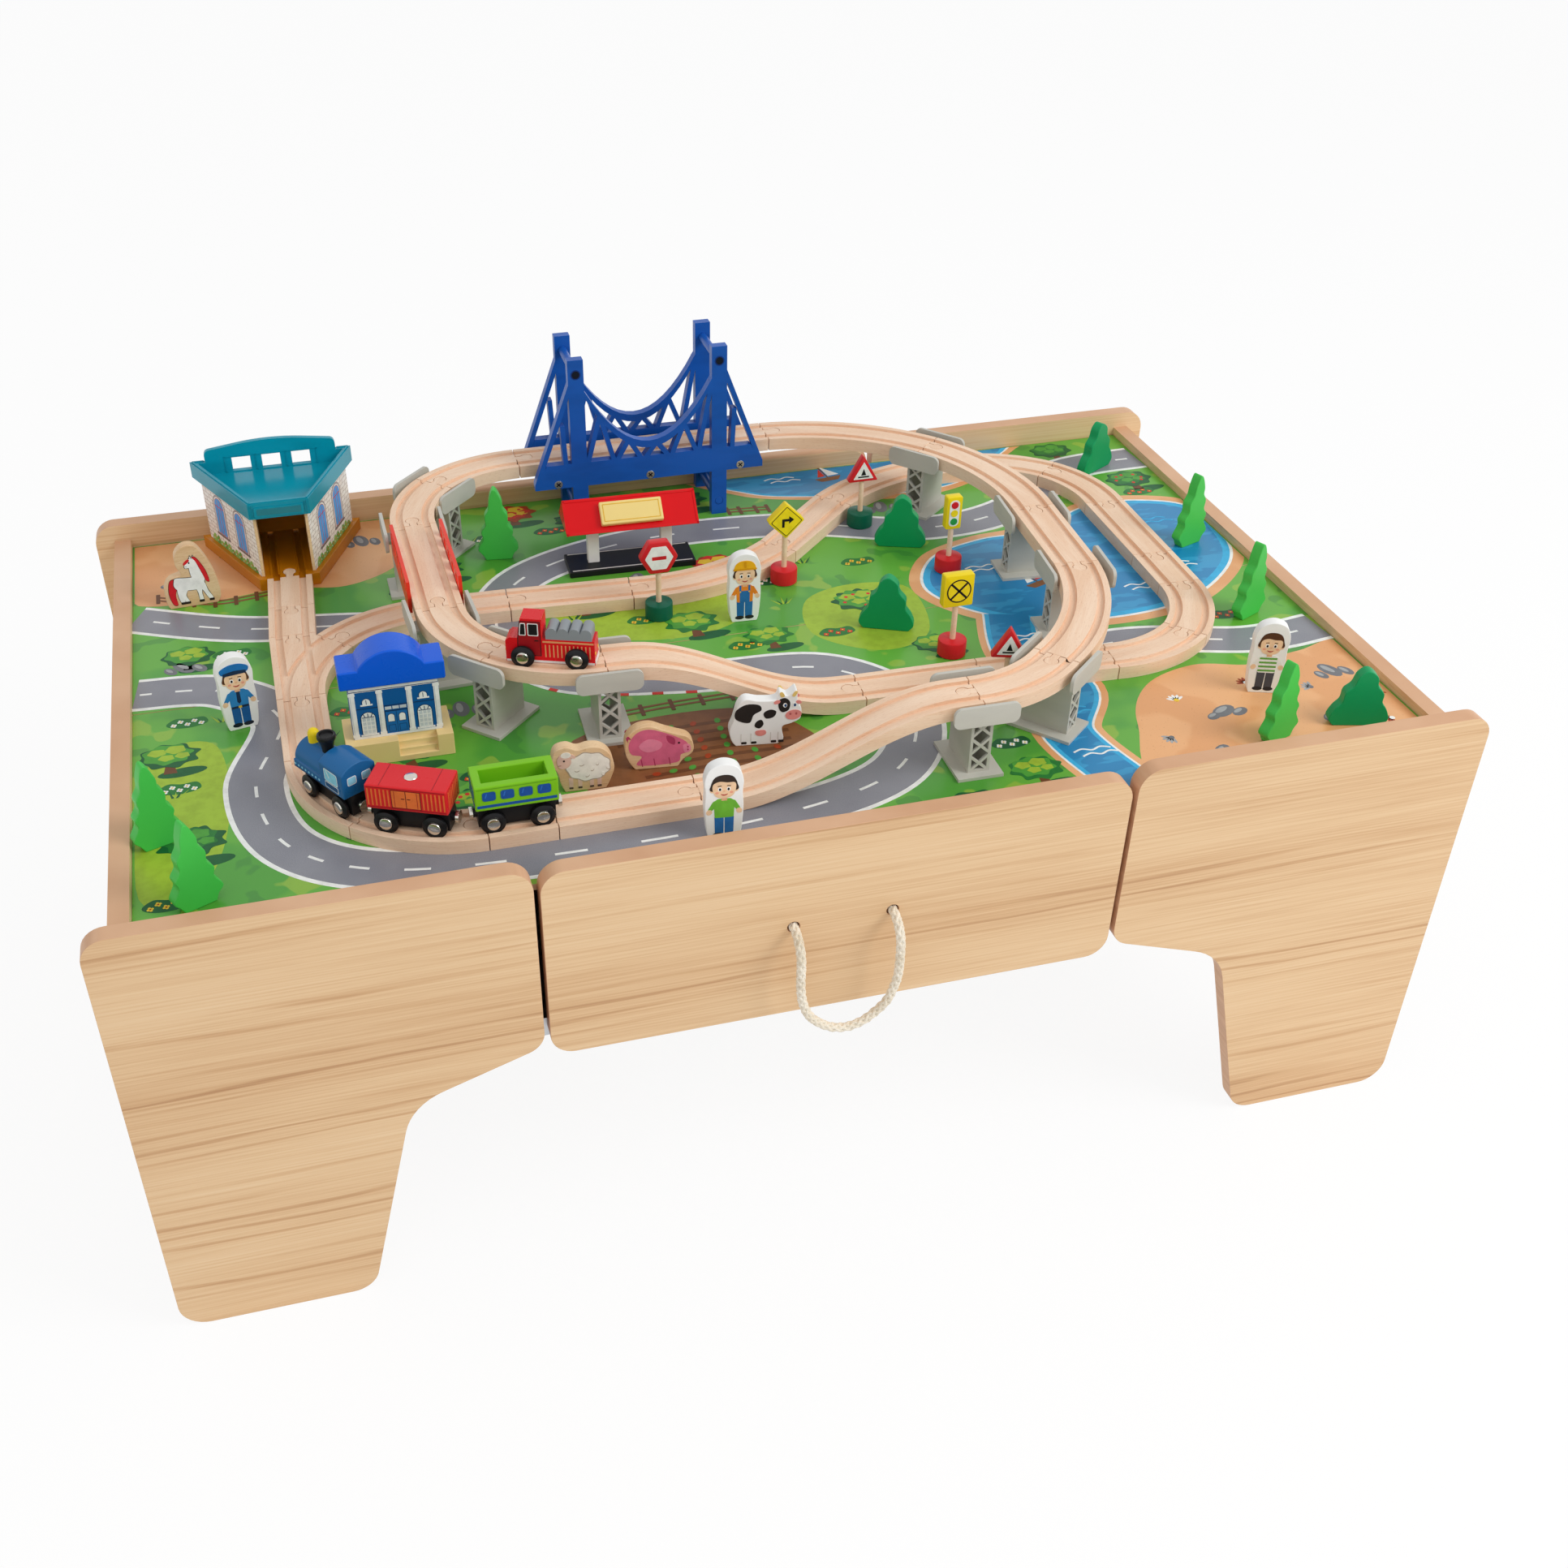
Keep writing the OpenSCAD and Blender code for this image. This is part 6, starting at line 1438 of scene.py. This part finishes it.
def signFace(s, kind, outline):
    if kind == "hexagon":
        s.shape("white", smaller(outline, 0.74), 0.8, 0.2)
        s.box("redInk", 0, 0, 13, 3.4, 0.4, height=0.28)
    elif kind == "diamond":
        s.shape("black", smaller(outline, 0.86), 1.2, 0.16)
        s.shape("yellowInk", smaller(outline, 0.81), 1.0, 0.2)
        s.shape("black", signs["arrow"], height=0.28)
    elif kind == "square":
        s.disc("black", 0, 0, 11, steps=36, height=0.16)
        s.disc("yellowInk", 0, 0, 9.8, steps=36, height=0.2)
        for turn in (45, -45):
            s.box("black", 0, 0, 20, 1.9, 0, turn, 0.27)
    elif kind == "light":
        s.box("white", 0, 0, 9.6, 26, 4, height=0.2)
        for y, colour in ((8.2, "redInk"), (0, "yellowInk"), (-8.2, "greenInk")):
            s.disc(colour, 0, y, 3.4, steps=24, height=0.6)
    else:
        s.shape("white", smaller(outline, 0.68), 0.8, 0.2)
        s.shape("black", [(-5.6, -4.4), (5.6, -4.4), (5.6, -2.9), (-5.6, -2.9)], 0.2, 0.27)
        s.shape("black", [(-2.6, -2), (2.6, -2), (0, 4.8)], 0.3, 0.27)


def makeSign(number, kind, share, turn, scale, base):
    s, place, half = Sheet(**signFinishes), onBoard(share, turn), signs["plateThick"] / 2
    outline, top = plateOutline(kind)
    neck = signs["height"] * scale - top
    middle = place @ at(0, 0, neck)
    s.on(frontOf(middle, s.foot - half))
    colour = "red" if kind in ("hexagon", "triangle") else "yellow"
    s.shape(colour, outline, signs["plateCorner"], 2 * half - s.foot)
    bmesh.ops.recalc_face_normals(s.bm, faces=s.bm.faces)
    roundEdges(s.bm, 0.8, 2, 50)
    r, h, post = signs["baseRadius"], signs["baseHeight"], signs["postRadius"]
    foot = [(0, 0), (r - 0.8, 0), (r, 0.8), (r, h - 1.2), (r - 0.4, h - 0.4), (r - 1.2, h), (0, h)]
    spun(s.bm, foot, place, s.slot(base), 40)
    spun(s.bm, [(0, h - 1), (post, h - 1), (post, neck), (0, neck)], place, s.slot("wood"), 20)
    for face in bothSides(middle, half):
        signFace(s.on(face), kind, outline)
    nodes = ["road_signs"] if number == 1 else []
    s.done("roadSign%d" % number, "table", "sign_paint", *nodes, smooth=32)


for number, row in enumerate(signs["rows"], 1):
    makeSign(number, *row)
print("road signs made")


# Trees and wooden figures

cutouts = {"edge": 1.3, "thick": 10, "tallFrom": 60, "near": 14, "personScale": 0.96}
treeGreen = paint("treeGreen", "4ac752", 0.4, "8fc27f", 0.3)
bushGreen = paint("bushGreen", "0d9c5c", 0.4, "77b897", 0.3)


def sortTrees(bm):
    for group in islands(bm):
        top = max(v.co.z for f in group for v in f.verts) / mm - table["boardTop"]
        for face in group:
            face.material_index = int(top < cutouts["tallFrom"])


softCopy("trees", treeGreen, cutouts["edge"], 3, 40, change=sortTrees, more=[bushGreen])

figures = {"people": [((-0.415, -0.064), 12, "officer"), ((0.016, 0.039), -4, "worker"),
                      ((-0.084, -0.464), -6, "child"), ((0.396, -0.333), -20, "walker")],
           "cow": ((-0.020, -0.279), -8), "pig": ((-0.108, -0.296), -6), "sheep": ((-0.170, -0.320), -4),
           "horse": ((-0.446, 0.292), 5),
           "looks": {  # hair, shirt, trousers, shoes
               "officer": ("5b3a26", "2f86c6", "1c5f9f", "1c2430"),
               "worker": ("4a2f1f", "f08b2b", "2b70b0", "2a2a2c"),
               "child": ("33241c", "74c03f", "2f70b2", "3a3a3c"),
               "walker": ("5a3826", "f2f2ee", "4b4d55", "2c2c30")}}
figureWood = beech("figureWood", "e8c9a0", "d9b184", "b58352", "Object")
figureWhite = paint("figureWhite", "f8f8f6", 0.34, "d9cbb4", 0.35)


def sortFigures(bm):
    white = [onBoard(row[0]).translation for row in figures["people"] + [figures["cow"]]]
    for group in islands(bm):
        middle = sum((f.calc_center_median() for f in group), Vector()) / len(group)
        isWhite = min((w.xy - middle.xy).length for w in white) < cutouts["near"] * mm
        for face in group:
            face.material_index = int(isWhite)


softCopy("wooden_figures", figureWood, 1.0, 3, 40, change=sortFigures, more=[figureWhite])


def drawPerson(p, look, colours):
    hair, shirt, trousers, shoes = colours
    skin, shade, dark = "f6cfa8", "eab58c", "2a211d"
    for s in (-1, 1):
        p.shape(trousers, [(s * 0.5, 5.5), (s * 7.2, 5.5), (s * 7.6, 22), (s * 0.3, 22)], 0.8)
        p.disc(shoes, s * 4.6, 4.6, 4.3, 2.0)
        p.shape(shirt, [(s * 5.5, 37.5), (s * 8.6, 36.4), (s * 12.8, 28.6), (s * 10.2, 27), (s * 6, 32)], 0.8)
        p.disc(skin, s * 11.7, 26.4, 2.3, 2.6, s * 30)
    p.shape(shirt, [(-7.4, 20.8), (7.4, 20.8), (8.2, 35.6), (5.2, 38.6), (-5.2, 38.6), (-8.2, 35.6)], 1.2)
    if look == "walker":
        for y in (23, 27, 31, 35):
            p.box("6aa84a", 0, y, 15, 1.9)
    if look == "worker":
        p.box(trousers, 0, 26.5, 9.4, 12, 1)
        for s in (-1, 1):
            p.box(trousers, s * 4.2, 34.8, 1.9, 7)
            p.disc("f2c531", s * 4.2, 31.6, 0.8)
    if look == "officer":
        p.box("18324f", 0, 22, 14.8, 2.2)
        p.box("e7c23a", 0, 22, 2.8, 2.2, 0.3)
        p.shape("18324f", [(-1.4, 37.6), (1.4, 37.6), (1.7, 27), (0, 25), (-1.7, 27)], 0.2)
    p.box(shade, 0, 38.8, 4.4, 4)
    for s in (-1, 1):
        p.disc(skin, s * 9.2, 47, 2.0, 2.4)
    p.blob(hair, [(-9.6, 46), (-10.2, 52), (-7, 58.6), (0, 60.6), (7, 58.6), (10.2, 52), (9.6, 46)])
    p.blob(skin, [(-9, 47), (-8.4, 52.4), (-3.6, 54.6), (2.4, 53.6), (8.4, 53), (9, 47), (6.4, 41), (0, 38.9),
                  (-6.4, 41)])
    for s in (-1, 1):
        p.disc("ffffff", s * 3.4, 47.6, 1.5, 1.8)
        p.disc(dark, s * 3.3, 47.4, 0.95, 1.3)
        p.box(hair, s * 3.6, 50.6, 3.0, 0.75, 0.2, s * -6)
        p.disc("f0a58c", s * 5.6, 44.4, 1.4, 1.0)
    p.blob(shade, [(-0.8, 45.4), (0.8, 45.4), (0.9, 46.2), (-0.2, 46.6)])
    p.blob("b5483f", [(-2.8, 43.2), (0, 42.6), (2.8, 43.2), (1.2, 41.7), (-1.2, 41.7)])
    if look == "officer":
        p.blob("1f74ba", [(-9.8, 54.4), (-12, 59), (-6, 62.4), (0, 63.2), (6, 62.4), (12, 59),
                          (9.8, 54.4), (0, 56)])
        p.shape("18324f", [(-9.6, 53.2), (9.6, 53.2), (9.8, 56), (0, 57.2), (-9.8, 56)], 0.6)
    if look == "worker":
        p.blob("f6b71d", [(-9.6, 54), (-8.8, 59.6), (-4, 63), (4, 63), (8.8, 59.6), (9.6, 54), (0, 55.4)])
        p.box("e59f12", 0, 54.6, 22, 1.9, 0.8)
        p.box("e59f12", 0, 59.4, 2.4, 6.6, 0.8)


def drawCow(p):
    dark, pink = "2b2726", "f0968f"
    for x in (-20, -12, 4, 10):
        p.box("d9d6d0", x, 7, 0.6, 9)
        p.box(dark, x + 2.4, 2.6, 4.4, 2.2, 0.6)
    p.blob(dark, [(-24, 34), (-16, 39), (-6, 38), (-4, 33), (-10, 29), (-13, 22), (-20, 23), (-25, 27)])
    p.blob(dark, [(-2, 30), (3, 33), (8, 31), (6, 26), (0, 25)])
    p.blob(dark, [(-8, 22), (-4, 24), (-2, 20), (-5, 16), (-9, 18)])
    p.blob(pink, [(-8, 13.6), (-1, 14), (0, 10.4), (-4, 8.6), (-8, 10)])
    p.blob(dark, [(10, 41), (15, 43), (19, 39), (18, 32), (13, 30), (10, 34)])
    p.blob("eccb7a", [(12, 44), (10.4, 47.6), (12.6, 48.6), (14.6, 45)])
    p.blob("eccb7a", [(22.6, 44), (25, 48), (22.8, 48.8), (20.6, 45)])
    p.disc(pink, 8.6, 39.6, 2.8, 1.7, 20)
    p.disc(pink, 26, 38.6, 2.4, 1.6, -20)
    p.disc(pink, 22, 27, 6.6, 4.6, 8)
    for x in (19.4, 24.2):
        p.disc("c25f5f", x, 28, 0.9, 1.2)
    for x in (15, 22.6):
        p.disc("f4f4f2", x, 36.4, 1.7, 2.1)
        p.disc("234a7a", x + 0.3, 36.2, 1.0, 1.4)


def drawPig(p):
    skin, line = "dc6b8c", "b23f63"
    p.blob(skin, [(-17, 4), (-14, 12), (-22, 15), (-24, 24), (-18, 34), (-8, 37), (4, 33), (14, 28), (22, 22),
                  (23, 14), (17, 11), (13, 4)])
    p.blob(line, [(6, 30), (12, 27), (12, 21), (7, 24)])
    for x in (-14, -4, 8):
        p.box(line, x, 6, 0.8, 7, 0, 8)
    p.blob("e98aa5", [(19, 20), (24, 20), (24.6, 14), (20, 13)])
    for y in (15.4, 18):
        p.disc(line, 22.6, y, 0.7, 0.9)
    p.disc("2a1b1e", 15.6, 22.4, 0.95)
    p.blob(line, [(-24, 26), (-26, 30), (-24, 32), (-22, 29), (-24, 29.4), (-24.4, 27.4)])
    p.blob("e98aa5", [(-16, 22), (-8, 28), (2, 24), (0, 18), (-10, 16)])


def drawSheep(p):
    wool, line, face = "f5f1e8", "b9a998", "e9c3b4"
    for x in (-10, -3, 6, 12):
        p.shape(face, [(x - 1.5, 3), (x + 1.5, 3), (x + 1.7, 13), (x - 1.7, 13)], 0.4)
        p.box("5a4a44", x, 3.4, 3.2, 1.8, 0.4)
    ring = [(4 + 17 * math.cos(a) * (1 + 0.06 * (k % 2)), 22 + 12.5 * math.sin(a) * (1 + 0.1 * (k % 2)))
            for k, a in ((k, 2 * math.pi * k / 18) for k in range(18))]
    p.blob(line, ring)
    p.blob(wool, [(4 + (x - 4) * 0.95, 22 + (y - 22) * 0.94) for x, y in ring])
    for k in range(7):
        p.disc(line, -5 + 4 * k, 19 + 6 * math.sin(2.1 * k), 1.9, 1.2, 20 * k)
        p.disc(wool, -5 + 4 * k, 19.7 + 6 * math.sin(2.1 * k), 1.8, 1.2, 20 * k)
    p.blob(face, [(-20, 30), (-17, 35), (-11, 34), (-9, 28), (-12, 23), (-18, 23)])
    p.disc(face, -8.6, 33, 3.4, 1.6, -30)
    p.disc(wool, -13, 34.4, 4.0, 2.6)
    p.disc("2a211d", -14.6, 29.4, 0.9)
    p.box("b5756a", -18.2, 25.4, 2.6, 0.6)


def drawHorse(p):
    coat, line, red, hoof = "f8f7f5", "3a2f2b", "d8242e", "2b211f"
    tail = [(-14, 29), (-19, 27), (-21, 16), (-19, 5), (-15, 4), (-15.5, 14), (-12, 24)]
    body = [(-15, 27), (-13, 30), (-4, 29), (6, 28), (11, 24), (9, 17), (-2, 16.5), (-12, 18), (-15.5, 22)]
    neck = [(2, 26), (11.5, 24), (9, 36), (7, 44), (1, 42), (0, 38)]
    head = [(7, 46), (3, 48.5), (-0.5, 45), (-3.4, 41), (-3, 38.6), (0, 38.6), (3, 40), (6.6, 41)]
    legs = [[(-13, 21), (-8, 20), (-9.4, 12), (-8.4, 5), (-11.6, 5), (-13.4, 12)],
            [(-9.4, 20), (-4, 18.4), (-6.6, 12), (-4.4, 5), (-7.4, 5), (-10, 12)],
            [(3, 19), (8, 18), (7.4, 12), (7.8, 5), (4.6, 5), (4.2, 12)],
            [(6, 21), (11, 22), (13, 14), (16.6, 5.4), (13.4, 4.8), (9.4, 13)]]

    p.blob(line, grown(tail, 0.5))
    p.blob(red, tail)
    for leg in legs:
        p.blob(line, grown(leg, 0.5))
    for part in (body, neck, head):
        p.blob(line, grown(part, 0.55))
    for leg in legs:
        p.blob(coat, leg)
        foot = sum(q[0] for q in leg[3:5]) / 2
        p.box(hoof, foot, 4.4, 4.4, 2.4, 0.5)
    for part in (body, neck, head):
        p.blob(coat, part)
    for x in (2.4, 5):
        p.shape(line, [(x - 1.2, 47.2), (x + 1.2, 47), (x + 0.2, 51)])
        p.shape(coat, [(x - 0.7, 47.4), (x + 0.8, 47.2), (x + 0.2, 50)])
    mane = [(4, 48.5), (7.4, 47.6), (11, 41), (14, 33), (15.5, 23), (12.6, 24), (10.6, 31), (8.6, 38),
            (6.6, 44)]
    p.blob(line, grown(mane, 0.4))
    p.blob(red, mane)
    p.blob(red, [(0.4, 46.8), (-3.2, 44.6), (-4.2, 41.8), (-1.8, 42.6), (1.4, 45.4)])
    p.disc("1f1a18", 0.8, 43.4, 0.7, 0.9)
    p.disc(line, -2.2, 40, 0.35)


def drawFigures():  # the backs of the animals mirror their fronts
    p, half, scale = Sheet(18), cutouts["thick"] / 2, cutouts["personScale"]
    for share, turn, look in figures["people"]:
        for face in bothSides(onBoard(share, turn), half):
            drawPerson(p.on(face @ Matrix.Diagonal((scale, scale, 1, 1))), look, figures["looks"][look])
    for name, draw in (("cow", drawCow), ("pig", drawPig), ("sheep", drawSheep), ("horse", drawHorse)):
        front, back = bothSides(onBoard(*figures[name]), half)
        draw(p.on(front))
        draw(p.on(back @ Matrix.Diagonal((-1, 1, 1, 1))))
    bmesh.ops.recalc_face_normals(p.bm, faces=p.bm.faces)
    p.done("figurePrints", "table", "white_paint")


drawFigures()
print("trees and figures made")
